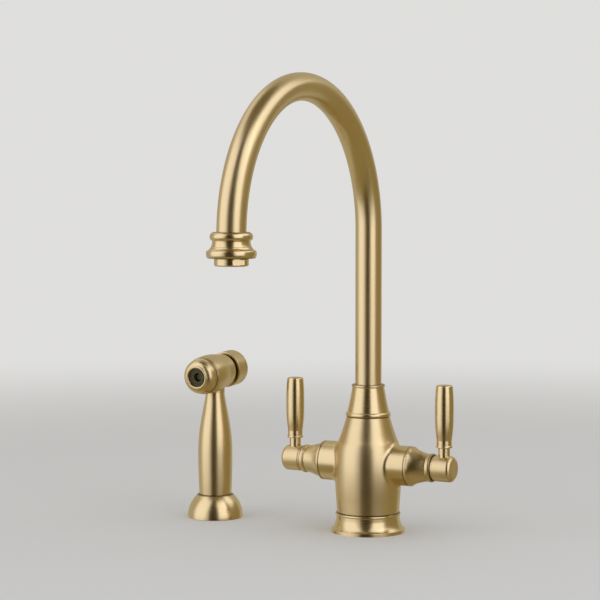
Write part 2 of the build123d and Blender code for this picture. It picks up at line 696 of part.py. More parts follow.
def spout_end():
    """Moulded end of the spout with two beads. The aerator is screwed into it from below."""
    thread_top = -END_BOTTOM + AERATOR_THREAD_H + AERATOR_WASHER_H
    thread_r = AERATOR_THREAD_R + THREAD_GAP
    return SPOUT_END_PLACE * turned(
        (TUBE_R + THREAD_GAP, END_TOP_UP),
        (END_WAIST_R - 1.8, END_TOP_UP),
        [(END_BEAD_R + 0.8, END_TOP_UP), (END_BEAD_R + 1.0, -2.8), (END_WAIST_R + 0.3, -3.6)],
        [(END_WAIST_R, -4.6), (END_WAIST_R + 0.2, -6.0), (END_STEP_R - 0.4, -8.2)],
        (END_STEP_R, -8.6),
        [(END_STEP_R + 0.7, -10.2), (END_LIP_R - 0.6, -11.0)],
        [(END_LIP_R + 0.2, -11.8), (END_LIP_R + 0.2, -15.4), (END_LIP_R - 1.2, -END_BOTTOM)],
        (AERATOR_R + 0.6, -END_BOTTOM),
        (AERATOR_R + 0.3, -END_BOTTOM + 0.5),
        (thread_r, -END_BOTTOM + 0.5),
        (thread_r, thread_top),
        (TUBE_BORE_R, thread_top),
        (TUBE_BORE_R, -TUBE_INSERT),
        (TUBE_R + THREAD_GAP, -TUBE_INSERT),
    )


def aerator_housing():
    thread_top = -END_BOTTOM + AERATOR_THREAD_H
    skirt_top = -END_BOTTOM - 0.4
    shell = turned(
        (AERATOR_BORE_R, thread_top),
        (AERATOR_THREAD_R, thread_top),
        (AERATOR_THREAD_R, skirt_top),
        (AERATOR_R, skirt_top),
        (AERATOR_R, -AERATOR_BOTTOM + 1),
        (AERATOR_R - 0.8, -AERATOR_BOTTOM + 0.2),
        (AERATOR_MOUTH_R + 0.4, -AERATOR_BOTTOM),
        (AERATOR_MOUTH_R, -AERATOR_BOTTOM),
        (AERATOR_BORE_R, -AERATOR_BOTTOM + 0.8),
    )
    flat_h = AERATOR_BOTTOM - END_BOTTOM - 2.4
    flat_z = -AERATOR_BOTTOM + 1.3 + flat_h / 2
    for side in (-1, 1):
        cutter = Pos(side * (AERATOR_FLAT + 2), 0, flat_z) * Box(4, 2 * AERATOR_R, flat_h)
        shell -= Rot(0, 0, -AERATOR_FLAT_TURN) * cutter
    return SPOUT_END_PLACE * shell


def aerator_insert():
    """Plastic flow straightener with a honeycomb of round cells."""
    low = -AERATOR_BOTTOM + 0.8 + SLIP_GAP
    high = -END_BOTTOM + AERATOR_THREAD_H
    core = rod(AERATOR_BORE_R - THREAD_GAP, low, high)
    cells = [
        Pos(place.position.X, place.position.Y) * rod(AERATOR_CELL_R, low, high)
        for place in HexLocations(AERATOR_CELL_PITCH / sqrt(3), 5, 5)
        if place.position.length + AERATOR_CELL_R < AERATOR_BORE_R - 0.6
    ]
    return SPOUT_END_PLACE * (core - cells)


def aerator_washer():
    low = -END_BOTTOM + AERATOR_THREAD_H
    return SPOUT_END_PLACE * ring(TUBE_BORE_R - 1.6, AERATOR_THREAD_R - SLIP_GAP, low, low + AERATOR_WASHER_H)


# ---- diverter -----------------------------------------------------------------------------
DIVERTER_TOP_Z = CHAMBER_FLOOR_Z + DIVERTER_H
LIP_LOW_Z = DIVERTER_TOP_Z - DIVERTER_LIP_H
GUIDE_LOW_Z = LIP_LOW_Z - PISTON_GUIDE_H


def diverter_seat():
    """Spool in the mixing chamber. Water comes in at its waist, and goes up past its lip or down."""
    foot_top = CHAMBER_FLOOR_Z + DIVERTER_FOOT_H
    spool = ring(DIVERTER_BORE_R, CHAMBER_R, CHAMBER_FLOOR_Z, foot_top)
    spool += ring(DIVERTER_BORE_R, DIVERTER_WAIST_R, CHAMBER_FLOOR_Z, LIP_LOW_Z)
    spool += ring(DIVERTER_LIP_R, CHAMBER_R, LIP_LOW_Z, DIVERTER_TOP_Z)
    middle = foot_top + DIVERTER_WINDOW_R + SLIP_GAP
    for index in range(DIVERTER_WINDOWS):
        turn = index * 360 / DIVERTER_WINDOWS
        hole = drilled((DIVERTER_BORE_R - 1, 0, middle), (DIVERTER_WAIST_R + 1, 0, middle), DIVERTER_WINDOW_R)
        spool -= Rot(0, 0, turn) * hole
    return spool


def diverter_piston():
    """Guide disc and stem, with a head that comes down on the lip when the spray runs."""
    guide = rod(DIVERTER_BORE_R - RUNNING_GAP, GUIDE_LOW_Z, LIP_LOW_Z)
    hole_circle_r = (PISTON_STEM_R + DIVERTER_LIP_R) / 2
    for index in range(PISTON_HOLES):
        hole = Pos(hole_circle_r, 0) * rod(PISTON_HOLE_R, GUIDE_LOW_Z, LIP_LOW_Z)
        guide -= Rot(0, 0, index * 360 / PISTON_HOLES) * hole
    head_low = DIVERTER_TOP_Z + DIVERTER_TRAVEL
    guide += rod(PISTON_STEM_R, GUIDE_LOW_Z, head_low)
    return guide + rod(PISTON_HEAD_R, head_low, head_low + PISTON_HEAD_H)


def diverter_spring():
    """Space that the coils take between the chamber's floor and the guide disc."""
    outer_r = DIVERTER_BORE_R - 2 * SLIP_GAP
    return ring(outer_r - SPRING_WIRE, outer_r, CHAMBER_FLOOR_Z, GUIDE_LOW_Z)


# ---- side spray base and hose coupling ------------------------------------------------------
BUSH_R = SPRAY_SHANK_BORE_R - SLIP_GAP
BUSH_SEAT_Z = HANDLE_SEAT_Z - BUSH_FLANGE_H
POCKET_R = HANDLE_FOOT_R + 2 * SLIP_GAP


def spray_base():
    dome = turned(
        (SPRAY_SHANK_BORE_R, 0),
        (SPRAY_BASE_R - 0.3, 0),
        (SPRAY_BASE_R, 0.3),
        [
            (SPRAY_BASE_R + 0.2, SPRAY_BASE_H * 0.35),
            (SPRAY_BASE_R - 2.7, SPRAY_BASE_H * 0.72),
            (SPRAY_BASE_MOUTH_R + 0.3, SPRAY_BASE_H),
        ],
        [(SPRAY_BASE_MOUTH_R, SPRAY_BASE_H + 0.25), (SPRAY_BASE_MOUTH_R - 0.5, SPRAY_BASE_H)],
        (POCKET_R, SPRAY_BASE_H - 0.3),
        (POCKET_R, BUSH_SEAT_Z),
        (SPRAY_SHANK_BORE_R, BUSH_SEAT_Z),
    )
    dome -= rod(SPRAY_SHANK_R + THREAD_GAP, 0, SPRAY_SHANK_ENGAGE)
    return SPRAY_PLACE * (dome - seal_groove(SPRAY_SEAL_R, SPRAY_SEAL_W))


def spray_base_seal():
    return SPRAY_PLACE * seal_groove(SPRAY_SEAL_R, SPRAY_SEAL_W - 2 * SLIP_GAP)


def spray_shank():
    return SPRAY_PLACE * ring(SPRAY_SHANK_BORE_R, SPRAY_SHANK_R, -SPRAY_SHANK_LENGTH, SPRAY_SHANK_ENGAGE)


def spray_washer():
    return SPRAY_PLACE * ring(SPRAY_SHANK_R + SLIP_GAP, SPRAY_WASHER_R, -DECK - SPRAY_WASHER_H, -DECK)


def spray_back_nut():
    top = -DECK - SPRAY_WASHER_H
    nut = hexagon(SPRAY_NUT_ACROSS, top - SPRAY_NUT_H, top)
    return SPRAY_PLACE * (nut - rod(SPRAY_SHANK_R + THREAD_GAP, top - SPRAY_NUT_H, top))


def guide_bush():
    """Plastic liner that the hose runs through. The handle stands on its flange."""
    return SPRAY_PLACE * turned(
        (BUSH_BORE_R, HANDLE_SEAT_Z - BUSH_LENGTH),
        (BUSH_R, HANDLE_SEAT_Z - BUSH_LENGTH),
        (BUSH_R, BUSH_SEAT_Z),
        (HANDLE_FOOT_R, BUSH_SEAT_Z),
        (HANDLE_FOOT_R, HANDLE_SEAT_Z),
        (BUSH_BORE_R + 0.8, HANDLE_SEAT_Z),
        (BUSH_BORE_R, HANDLE_SEAT_Z - 0.8),
    )


NUT_LOW_Z = HANDLE_SEAT_Z + 0.5                    # coupling nut, just inside the handle
FLANGE_LOW_Z = NUT_LOW_Z + COUPLING_NUT_H + RUNNING_GAP
FLANGE_HIGH_Z = FLANGE_LOW_Z + COUPLING_FLANGE_H
COUPLING_TOP_Z = FLANGE_HIGH_Z + COUPLING_SPIGOT_H
COUPLING_SEAL_Z = FLANGE_HIGH_Z + COUPLING_SPIGOT_H * 0.55


def hose_coupling():
    """Nipple that the hose is screwed onto. It turns in the handle's foot."""
    low = HANDLE_SEAT_Z - COUPLING_DROP
    nipple = rod(HOSE_THREAD_R, low, low + HOSE_THREAD_H)
    nipple += rod(COUPLING_SHANK_R, low + HOSE_THREAD_H, FLANGE_LOW_Z)
    nipple += rod(COUPLING_FLANGE_R, FLANGE_LOW_Z, FLANGE_HIGH_Z)
    nipple += rod(COUPLING_SPIGOT_R, FLANGE_HIGH_Z, COUPLING_TOP_Z)
    nipple -= rod(COUPLING_BORE_R, low, COUPLING_TOP_Z)
    low = COUPLING_SEAL_Z - O_RING_H / 2
    groove = ring(COUPLING_SPIGOT_R - 1, COUPLING_SPIGOT_R + 1, low, low + O_RING_H)
    return SPRAY_PLACE * (nipple - groove)


def coupling_seal():
    half = O_RING_H / 2 - SLIP_GAP
    outer_r = COUPLING_SPIGOT_R + RUNNING_GAP - SEAL_GAP
    return SPRAY_PLACE * ring(COUPLING_SPIGOT_R - 1, outer_r, COUPLING_SEAL_Z - half, COUPLING_SEAL_Z + half)


def coupling_nut():
    low = NUT_LOW_Z
    return SPRAY_PLACE * ring(COUPLING_SHANK_R + RUNNING_GAP, COUPLING_NUT_R, low, low + COUPLING_NUT_H)


def spray_handle():
    belly_z = HANDLE_BELLY_Z
    grip = turned(
        (0, HANDLE_SEAT_Z),
        (HANDLE_FOOT_R - 0.4, HANDLE_SEAT_Z),
        (HANDLE_FOOT_R, HANDLE_SEAT_Z + 0.4),
        [
            (HANDLE_FOOT_R + 0.7, belly_z - HANDLE_FOOT_PULL),
            (HANDLE_BELLY_R + 0.1, belly_z - HANDLE_BELLY_PULL),
            (HANDLE_BELLY_R, belly_z),
        ],
        [
            (HANDLE_BELLY_R + 0.1, belly_z + HANDLE_TAPER_PULL),
            (HANDLE_NECK_R + 1.8, HANDLE_TOP_Z - HANDLE_NECK_PULL),
            (HANDLE_NECK_R, HANDLE_TOP_Z),
        ],
        (0, HANDLE_TOP_Z),
    )
    grip += rod(HANDLE_SPIGOT_R, HANDLE_TOP_Z, HANDLE_TOP_Z + HANDLE_SPIGOT_H)
    grip -= rod(COUPLING_NUT_R + THREAD_GAP, HANDLE_SEAT_Z, NUT_LOW_Z + COUPLING_NUT_H)
    grip -= rod(COUPLING_FLANGE_R + SLIP_GAP, HANDLE_SEAT_Z, FLANGE_HIGH_Z + RUNNING_GAP)
    grip -= rod(COUPLING_SPIGOT_R + RUNNING_GAP, HANDLE_SEAT_Z, COUPLING_TOP_Z + SLIP_GAP)
    return SPRAY_PLACE * (grip - rod(HANDLE_BORE_R, HANDLE_SEAT_Z, HANDLE_TOP_Z + HANDLE_SPIGOT_H))


# ---- spray head, drawn in its own frame with Z towards the nose -----------------------------
NOSE_BACK = BARREL_FRONT + HEAD_BEAD_H             # where the nose ring starts
THREAD_FRONT = NOSE_BACK + HEAD_THREAD_H
ROSE_FRONT = NOSE_FRONT - NOSE_LIP_H
ROSE_BACK = ROSE_FRONT - ROSE_H


def spray_head():
    """Tee-shaped shell: the barrel with the valve in it, and the boss that stands on the handle."""
    barrel_end_r = BARREL_R - BARREL_SWELL
    shell = turned(
        (0, -HEAD_NECK_BACK),
        (HEAD_NECK_R - 0.4, -HEAD_NECK_BACK),
        (HEAD_NECK_R, -HEAD_NECK_BACK + 0.4),
        (HEAD_NECK_R, -HEAD_COLLAR_BACK),
        (HEAD_COLLAR_R - 0.4, -HEAD_COLLAR_BACK),
        (HEAD_COLLAR_R, -HEAD_COLLAR_BACK + 0.4),
        (HEAD_COLLAR_R, -0.8),
        (barrel_end_r - 0.6, -0.8),
        (barrel_end_r, -0.2),
        [(BARREL_R + BARREL_SWELL, BARREL_FRONT / 2), (barrel_end_r, BARREL_FRONT - 0.5)],
        (barrel_end_r - 0.5, BARREL_FRONT),
        bead(barrel_end_r - 0.5, BARREL_FRONT, NOSE_BACK - 0.2, HEAD_BEAD_R - barrel_end_r + 0.5),
        (HEAD_THREAD_R, NOSE_BACK),
        (HEAD_THREAD_R, THREAD_FRONT),
        (0, THREAD_FRONT),
    )
    shell = HEAD_FRAME * shell
    shell += SPRAY_PLACE * rod(HEAD_BOSS_R, HANDLE_TOP_Z, HEAD_Z)
    spigot_top = HANDLE_TOP_Z + HANDLE_SPIGOT_H
    shell -= SPRAY_PLACE * rod(HANDLE_SPIGOT_R + THREAD_GAP, HANDLE_TOP_Z, spigot_top)
    shell -= SPRAY_PLACE * rod(HANDLE_BORE_R, HANDLE_TOP_Z, HEAD_Z)
    valve_back = VALVE_FACE - VALVE_WALL
    shell -= HEAD_FRAME * rod(FRONT_CHAMBER_R, VALVE_FACE, THREAD_FRONT)
    shell -= HEAD_FRAME * rod(VALVE_HOLE_R, 0, THREAD_FRONT)
    shell -= HEAD_FRAME * rod(REAR_CHAMBER_R, -REAR_CHAMBER_BACK, valve_back)
    shell -= HEAD_FRAME * rod(BUTTON_STEM_R + RUNNING_GAP, -HEAD_NECK_BACK, THREAD_FRONT)
    half = STEM_SEAL_H / 2 + SLIP_GAP / 2
    groove_r = STEM_SEAL_R + SLIP_GAP / 2
    return shell - HEAD_FRAME * ring(0, groove_r, -STEM_SEAL_BACK - half, -STEM_SEAL_BACK + half)


def stem_seal():
    low = -STEM_SEAL_BACK - STEM_SEAL_H / 2
    return HEAD_FRAME * ring(BUTTON_STEM_R + SEAL_GAP, STEM_SEAL_R, low, low + STEM_SEAL_H)


def nose_ring():
    """Ring that is screwed onto the head and holds the rose."""
    cone_back = NOSE_BACK + NOSE_BAND_H
    cone_r = NOSE_BACK_R - NOSE_BAND_STEP
    crease = NOSE_FRONT - NOSE_LIP_FOOT_BACK
    return HEAD_FRAME * turned(
        (HEAD_THREAD_R + THREAD_GAP, NOSE_BACK),
        (NOSE_BACK_R - 0.3, NOSE_BACK),
        (NOSE_BACK_R, NOSE_BACK + 0.4),
        (NOSE_BACK_R, cone_back - 0.2),
        (cone_r, cone_back),
        [
            (cone_r - 0.2, cone_back + 3),
            (NOSE_SHOULDER_R + 1.6, NOSE_FRONT - 2.6),
            (NOSE_SHOULDER_R, NOSE_FRONT - 1.7),
        ],
        [(NOSE_SHOULDER_R - 0.9, NOSE_FRONT - 1.1), (NOSE_LIP_FOOT_R + 0.2, crease)],
        [
            (NOSE_LIP_FOOT_R, NOSE_FRONT + 0.3),
            (NOSE_MOUTH_R, NOSE_FRONT + 0.3),
            (NOSE_MOUTH_R, NOSE_FRONT - 1.0),
        ],
        (NOSE_MOUTH_R, ROSE_FRONT),
        (ROSE_R + THREAD_GAP, ROSE_FRONT),
        (ROSE_R + THREAD_GAP, THREAD_FRONT + SLIP_GAP),
        (HEAD_THREAD_R + THREAD_GAP, THREAD_FRONT + SLIP_GAP),
    )


def spray_rose():
    """Face plate with a ring of small holes and a pit in the middle."""
    plate = rod(ROSE_R, ROSE_BACK, ROSE_FRONT) + rod(ROSE_BOSS_R, ROSE_BACK - ROSE_BOSS_H, ROSE_BACK)
    plate -= rod(ROSE_PIT_R, ROSE_FRONT - ROSE_PIT_DEPTH, ROSE_FRONT)
    plate -= rod(ROSE_PLUG_STEM_R + THREAD_GAP, ROSE_BACK - ROSE_BOSS_H, ROSE_FRONT)
    for index in range(ROSE_HOLES):
        hole = Pos(ROSE_HOLE_CIRCLE_R, 0) * rod(ROSE_HOLE_R, ROSE_BACK, ROSE_FRONT)
        plate -= Rot(0, 0, index * 360 / ROSE_HOLES) * hole
    return HEAD_FRAME * plate


def rose_plug():
    floor = ROSE_FRONT - ROSE_PIT_DEPTH
    plug = turned(
        (0, ROSE_BACK - ROSE_BOSS_H),
        (ROSE_PLUG_STEM_R, ROSE_BACK - ROSE_BOSS_H),
        (ROSE_PLUG_STEM_R, floor),
        (ROSE_PLUG_R, floor),
        (ROSE_PLUG_R, floor + ROSE_PLUG_H - 0.5),
        [(ROSE_PLUG_R, floor + ROSE_PLUG_H), (ROSE_PLUG_R - 0.6, floor + ROSE_PLUG_H)],
        (0, floor + ROSE_PLUG_H),
    )
    return HEAD_FRAME * plug


# ---- push button ----------------------------------------------------------------------------
BUTTON_FRONT = -HEAD_COLLAR_BACK - BUTTON_TRAVEL - BUTTON_STOP_GAP
BUTTON_BACK = BUTTON_FRONT - BUTTON_LENGTH
HOLLOW_BACK = -HEAD_NECK_BACK - BUTTON_TRAVEL - BUTTON_STOP_GAP
POCKET_BACK = BUTTON_BACK + BUTTON_BACK_WALL
STEM_FRONT = VALVE_FACE + VALVE_SEAL_H + STEM_HEAD_H


def button_cap():
    """Hollow cap that slides over the neck of the head."""
    edge = BUTTON_EDGE_R
    cap = turned(
        (0, BUTTON_BACK),
        (BUTTON_R - edge - 3, BUTTON_BACK),
        [
            (BUTTON_R - edge, BUTTON_BACK),
            (BUTTON_R, BUTTON_BACK + edge * 0.4),
            (BUTTON_R, BUTTON_BACK + edge + 0.6),
        ],
        (BUTTON_R, BUTTON_FRONT - 0.7),
        [(BUTTON_R, BUTTON_FRONT), (BUTTON_R - 0.7, BUTTON_FRONT)],
        (BUTTON_R - BUTTON_WALL + 0.3, BUTTON_FRONT),
        (BUTTON_R - BUTTON_WALL, BUTTON_FRONT - 0.3),
        (BUTTON_R - BUTTON_WALL, HOLLOW_BACK),
        (BUTTON_POCKET_R, HOLLOW_BACK),
        (BUTTON_POCKET_R, POCKET_BACK),
        (0, POCKET_BACK),
    )
    return HEAD_FRAME * (cap - rod(BUTTON_STEM_R + THREAD_GAP, BUTTON_BACK + 1, POCKET_BACK))


def button_stem():
    """Rod from the button to the valve seal. Its head at the front holds the seal."""
    stem = rod(BUTTON_STEM_R, BUTTON_BACK + 1, VALVE_FACE)
    stem += rod(BUTTON_STEM_R - 0.6, VALVE_FACE, STEM_FRONT)
    return HEAD_FRAME * (stem + rod(STEM_HEAD_R, STEM_FRONT - STEM_HEAD_H, STEM_FRONT))


def valve_seal():
    inner_r = BUTTON_STEM_R - 0.6 + THREAD_GAP
    return HEAD_FRAME * ring(inner_r, VALVE_SEAL_R, VALVE_FACE, VALVE_FACE + VALVE_SEAL_H)


def button_spring():
    """Space that the return spring's coils take between the neck and the button."""
    half = SPRING_WIRE / 2
    return HEAD_FRAME * ring(SPRING_R - half, SPRING_R + half, POCKET_BACK, -HEAD_NECK_BACK)


# ---- all nodes ------------------------------------------------------------------------------
def side_nodes(name, side):
    """The pieces of one valve, with the side in their names."""
    pieces = {
        "cartridge_seal": cartridge_seal(),
        "cartridge_body": cartridge_body(),
        "fixed_disc": fixed_disc(),
        "turning_disc": turning_disc(),
        "spindle": spindle(),
        "bonnet": bonnet(),
        "hub": hub(),
        "grub_screw": grub_screw(),
    }
    placed = {f"{name}_{piece}": arm_frame(side) * solid for piece, solid in pieces.items()}
    placed[f"{name}_lever"] = lever(side)
    return placed


def all_nodes():
    """Every node's name and its solid."""
    makers = (
        base_flange, base_seal, mounting_shank, rubber_washer, steel_washer, back_nut, body,
        retaining_screw, glide_ring, spout_tube, spigot, spigot_seals, upper_collar, spout_end,
        aerator_housing, aerator_insert, aerator_washer, diverter_seat, diverter_piston,
        diverter_spring, spray_base, spray_base_seal, spray_shank, spray_washer, spray_back_nut,
        guide_bush, hose_coupling, coupling_seal, coupling_nut, spray_handle, spray_head, stem_seal,
        nose_ring, spray_rose, rose_plug, button_cap, button_stem, valve_seal, button_spring,
    )
    nodes = {maker.__name__: maker() for maker in makers}
    for name, side in (("left", -1), ("right", 1)):
        nodes.update(side_nodes(name, side))
    return nodes


os.makedirs("parts", exist_ok=True)
for node, solid in all_nodes().items():
    export_step(solid, f"parts/{node}.step")
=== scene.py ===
"""Looks of a side spray kitchen tap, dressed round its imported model. One unit is a metre."""

import json
from math import cos, pi, radians, sin, tan, tau

import bmesh
import bpy
from bpy.props import FloatProperty, FloatVectorProperty, IntProperty, PointerProperty
from mathutils import Matrix, Vector

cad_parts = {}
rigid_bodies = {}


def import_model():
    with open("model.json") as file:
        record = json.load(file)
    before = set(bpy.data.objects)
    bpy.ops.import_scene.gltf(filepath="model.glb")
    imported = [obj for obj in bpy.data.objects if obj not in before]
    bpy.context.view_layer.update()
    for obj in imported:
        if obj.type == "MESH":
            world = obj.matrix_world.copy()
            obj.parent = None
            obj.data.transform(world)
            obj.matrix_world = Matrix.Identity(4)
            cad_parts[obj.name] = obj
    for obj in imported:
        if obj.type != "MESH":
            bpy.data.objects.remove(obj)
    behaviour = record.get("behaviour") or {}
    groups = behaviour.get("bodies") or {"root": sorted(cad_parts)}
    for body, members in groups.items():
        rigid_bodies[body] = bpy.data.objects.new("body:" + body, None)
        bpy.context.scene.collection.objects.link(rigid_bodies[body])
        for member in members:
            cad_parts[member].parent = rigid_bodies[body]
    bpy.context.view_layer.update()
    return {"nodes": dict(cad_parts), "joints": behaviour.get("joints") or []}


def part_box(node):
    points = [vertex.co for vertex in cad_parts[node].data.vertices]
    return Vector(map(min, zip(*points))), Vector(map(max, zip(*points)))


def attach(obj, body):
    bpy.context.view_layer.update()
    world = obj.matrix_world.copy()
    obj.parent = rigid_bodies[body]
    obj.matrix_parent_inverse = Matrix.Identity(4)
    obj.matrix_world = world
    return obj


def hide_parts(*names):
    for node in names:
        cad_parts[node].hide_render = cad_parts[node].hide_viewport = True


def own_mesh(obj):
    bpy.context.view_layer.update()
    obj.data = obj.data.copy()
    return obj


bl_info = {
    "name": "Side spray kitchen tap",
    "version": (1, 0, 0),
    "blender": (4, 5, 0),
    "location": "View3D > Sidebar > Tap",
    "description": "Dresses a side spray kitchen tap and sets its studio",
    "category": "Object",
}

for leftover in list(bpy.data.objects):
    bpy.data.objects.remove(leftover)
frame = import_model()
MM = 0.001


# ---- places ---------------------------------------------------------------------------------
def middle(node):
    """Centre of a node's box."""
    low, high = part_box(node)
    return (low + high) / 2


def size(node):
    """Sides of a node's box."""
    low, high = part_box(node)
    return high - low


def joint_axis(name):
    """Direction of a joint."""
    return Vector(next(joint["axis"] for joint in frame["joints"] if joint["name"] == name))


def joint_travel(name):
    """How far a sliding joint moves."""
    low, high = next(joint["range_m"] for joint in frame["joints"] if joint["name"] == name)
    return high - low


def turned_to(origin, direction):
    """Matrix whose Z runs along a direction through a point."""
    return Matrix.Translation(origin) @ Vector(direction).to_track_quat("Z", "Y").to_matrix().to_4x4()


ARM_Z = middle("right_bonnet").z
SPOUT_END = Vector((0, middle("aerator_housing").y, 0))
SPRAY_FOOT = Vector((middle("spray_base").x, 0, 0))
HEAD_FORWARD = joint_axis("spray_button_press").normalized()
HEAD_CENTRE = Vector((SPRAY_FOOT.x, 0, middle("rose_plug").z))
HEAD_CENTRE.z -= HEAD_FORWARD.z * abs(middle("rose_plug").y)

BARREL_BACK = -0.8 * MM      # step behind the barrel of the spray head, from the handle's axis
BARREL_FRONT = 20.4 * MM     # groove in front of it
BRANCH_ROOT = 26 * MM        # where the brushing of the body starts to turn into that of its branches
BRANCH_START = 30 * MM       # where it has turned
TUBE_INSERTED = 8 * MM       # how far the spout tube goes straight down into the spout's end
SHANK_CHAMFER = 0.6 * MM
SPRAY_PITCH = 0.75           # pitch of the thread on the spray's shank, against that on the tap's

TAP_MIDDLE = Vector((0, -0.06, 0.18))    # what the lamps and the cards face
LAMPS_AWAY = 1.7
CARDS_AWAY = 2.6
FLOOR_RADIUS = 12.0
FLOOR_FADE = (0.55, 1.7)                 # how far off the floor starts and stops fading into the background
CARD_FACES = (24, 12)                    # faces of a card across and up

# The axis that each group of turned pieces was cut and brushed round.
TAP_AXIS = Matrix.Identity(4)
SPOUT_END_AXIS = Matrix.Translation(SPOUT_END)
SPRAY_AXIS = Matrix.Translation(SPRAY_FOOT)
ARM_AXIS = turned_to((0, 0, ARM_Z), (1, 0, 0))
HEAD_AXIS = turned_to(HEAD_CENTRE, HEAD_FORWARD)
LEVER_AXES = {side: Matrix.Translation((middle(f"{side}_lever").x, 0, 0)) for side in ("left", "right")}


def reach_along(node, axis):
    """Where a node starts and ends along the axis of its group."""
    into = axis.inverted()
    heights = [(into @ vertex.co).z for vertex in frame["nodes"][node].data.vertices]
    return min(heights), max(heights)


def radius_about(node, axis):
    """How far a node reaches from the axis of its group."""
    into = axis.inverted()
    return max((into @ vertex.co).xy.length for vertex in frame["nodes"][node].data.vertices)


# ---- grain of the finishes ------------------------------------------------------------------
# Shares of the fine strokes, the broad strokes and the smudges in the tint of a metal and in its gloss.
TINT_SHARES = (0.34, 0.33, 0.33)
GLOSS_SHARES = (0.03, 0.02, 0.06)
RELIEF_STRENGTH = 0.1
BROAD_STROKE = 7             # width of a broad stroke in fine ones
FINE_TURN = 1.6              # how fast a fine stroke changes round a piece
BROAD_TURN = 2.4
FACE_SLANT = 0.8             # how fast strokes follow each other on a flat face, against a round side
TUBE_BROAD_STROKE = 6        # the same on the spout tube
TUBE_FINE_LENGTH = 30 * MM   # length of a stroke along it
TUBE_BROAD_LENGTH = 50 * MM
LATHE_DEPTH = 0.06 * MM
WIRE_DEPTH = 0.01 * MM
WIRE_GRAIN = (9000.0, 2200.0, 300.0)    # marks, patches and slow shading of the wire, in one metre
WIRE_ROUGHNESS = 0.26
MOULD_TINT = (0.4, 0.6)      # shares of the grain and of the slow shading in the tint of a moulding
MOULD_GLOSS = (0.12, 0.14)
MOULD_SLOW = 40              # width of the slow shading in grains
DROPS_PER_METRE = 900.0
TURNED_ROUGHNESS = 0.34
VALVE_ROUGHNESS = 0.32
POLISHED_ROUGHNESS = 0.3


# ---- node trees -----------------------------------------------------------------------------
class Value:
    """An output in a node tree. Arithmetic on it adds Math nodes."""

    def __init__(self, nodes, socket):
        self.nodes = nodes
        self.socket = socket

    def out(self, name):
        """Another output of the same node."""
        return Value(self.nodes, self.socket.node.outputs[name])

    def math(self, operation, *others):
        return self.nodes.node("ShaderNodeMath", {"operation": operation}, dict(enumerate((self, *others))))

    def __add__(self, other):
        return self.math("ADD", other)

    def __sub__(self, other):
        return self.math("SUBTRACT", other)

    def __rsub__(self, other):
        return self.nodes.number(other).math("SUBTRACT", self)

    def __mul__(self, other):
        return self.math("MULTIPLY", other)

    def __truediv__(self, other):
        return self.math("DIVIDE", other)

    def __pow__(self, other):
        return self.math("POWER", other)

    __radd__ = __add__
    __rmul__ = __mul__


class Nodes:
    """A node tree that is being built."""

    def __init__(self, tree):
        self.tree = tree
        tree.nodes.clear()

    def number(self, value):
        """A plain number as the first term of an expression."""
        return self.node("ShaderNodeMath", {"operation": "ADD"}, {0: value, 1: 0.0})

    def node(self, kind, settings=None, inputs=None):
        """Adds a node. Settings come first, then its inputs by name, identifier or number."""
        made = self.tree.nodes.new(kind)
        for name, value in (settings or {}).items():
            if name == "stops":
                self.set_stops(made.color_ramp.elements, value)
            else:
                setattr(made, name, value)
        for key, value in (inputs or {}).items():
            self.fill(self.find(made.inputs, key), value)
        outputs = [socket for socket in made.outputs if socket.enabled]
        return Value(self, outputs[0]) if outputs else made

    @staticmethod
    def find(sockets, key):
        if isinstance(key, int):
            return sockets[key]
        by_identifier = [socket for socket in sockets if socket.identifier == key]
        by_name = [socket for socket in sockets if socket.name == key and socket.enabled]
        return (by_identifier or by_name)[0]

    def fill(self, socket, value):
        """Links an output to an input, or sets the input's own value."""
        if isinstance(value, Value):
            self.tree.links.new(value.socket, socket)
        else:
            socket.default_value = value

    @staticmethod
    def set_stops(elements, stops):
        """Puts greys on a ramp."""
        while len(elements) < len(stops):
            elements.new(1.0)
        for element, (place, shade) in zip(elements, stops):
            element.position = place
            element.color = (shade, shade, shade, 1.0)

    def vector(self, x, y, z):
        return self.node("ShaderNodeCombineXYZ", inputs={0: x, 1: y, 2: z})

    def mix(self, factor, first, second):
        """Colour between two colours."""
        inputs = {"Factor_Float": factor, "A_Color": first, "B_Color": second}
        return self.node("ShaderNodeMix", {"data_type": "RGBA", "clamp_factor": True}, inputs)

    def noise(self, vector, scale=1.0, detail=2.0, roughness=0.5):
        inputs = {"Vector": vector, "Scale": scale, "Detail": detail, "Roughness": roughness}
        return self.node("ShaderNodeTexNoise", inputs=inputs)


# ---- materials ------------------------------------------------------------------------------
def rgba(colour, share=1.0):
    return (*[channel * share for channel in colour], 1.0)


def new_material(name):
    material = bpy.data.materials.new(name)
    material.use_nodes = True
    return material, Nodes(material.node_tree)


def finish_material(nodes, shader):
    nodes.node("ShaderNodeOutputMaterial", inputs={"Surface": shader})


def local_place(nodes, axis):
    """The point in its group's own frame, with Z along the axis that the group was turned round."""
    place, turn, _ = axis.decompose()
    inputs = {
        "Vector": nodes.node("ShaderNodeTexCoord").out("Object"),
        "Location": place,
        "Rotation": turn.to_euler(),
    }
    return nodes.node("ShaderNodeMapping", {"vector_type": "TEXTURE"}, inputs)


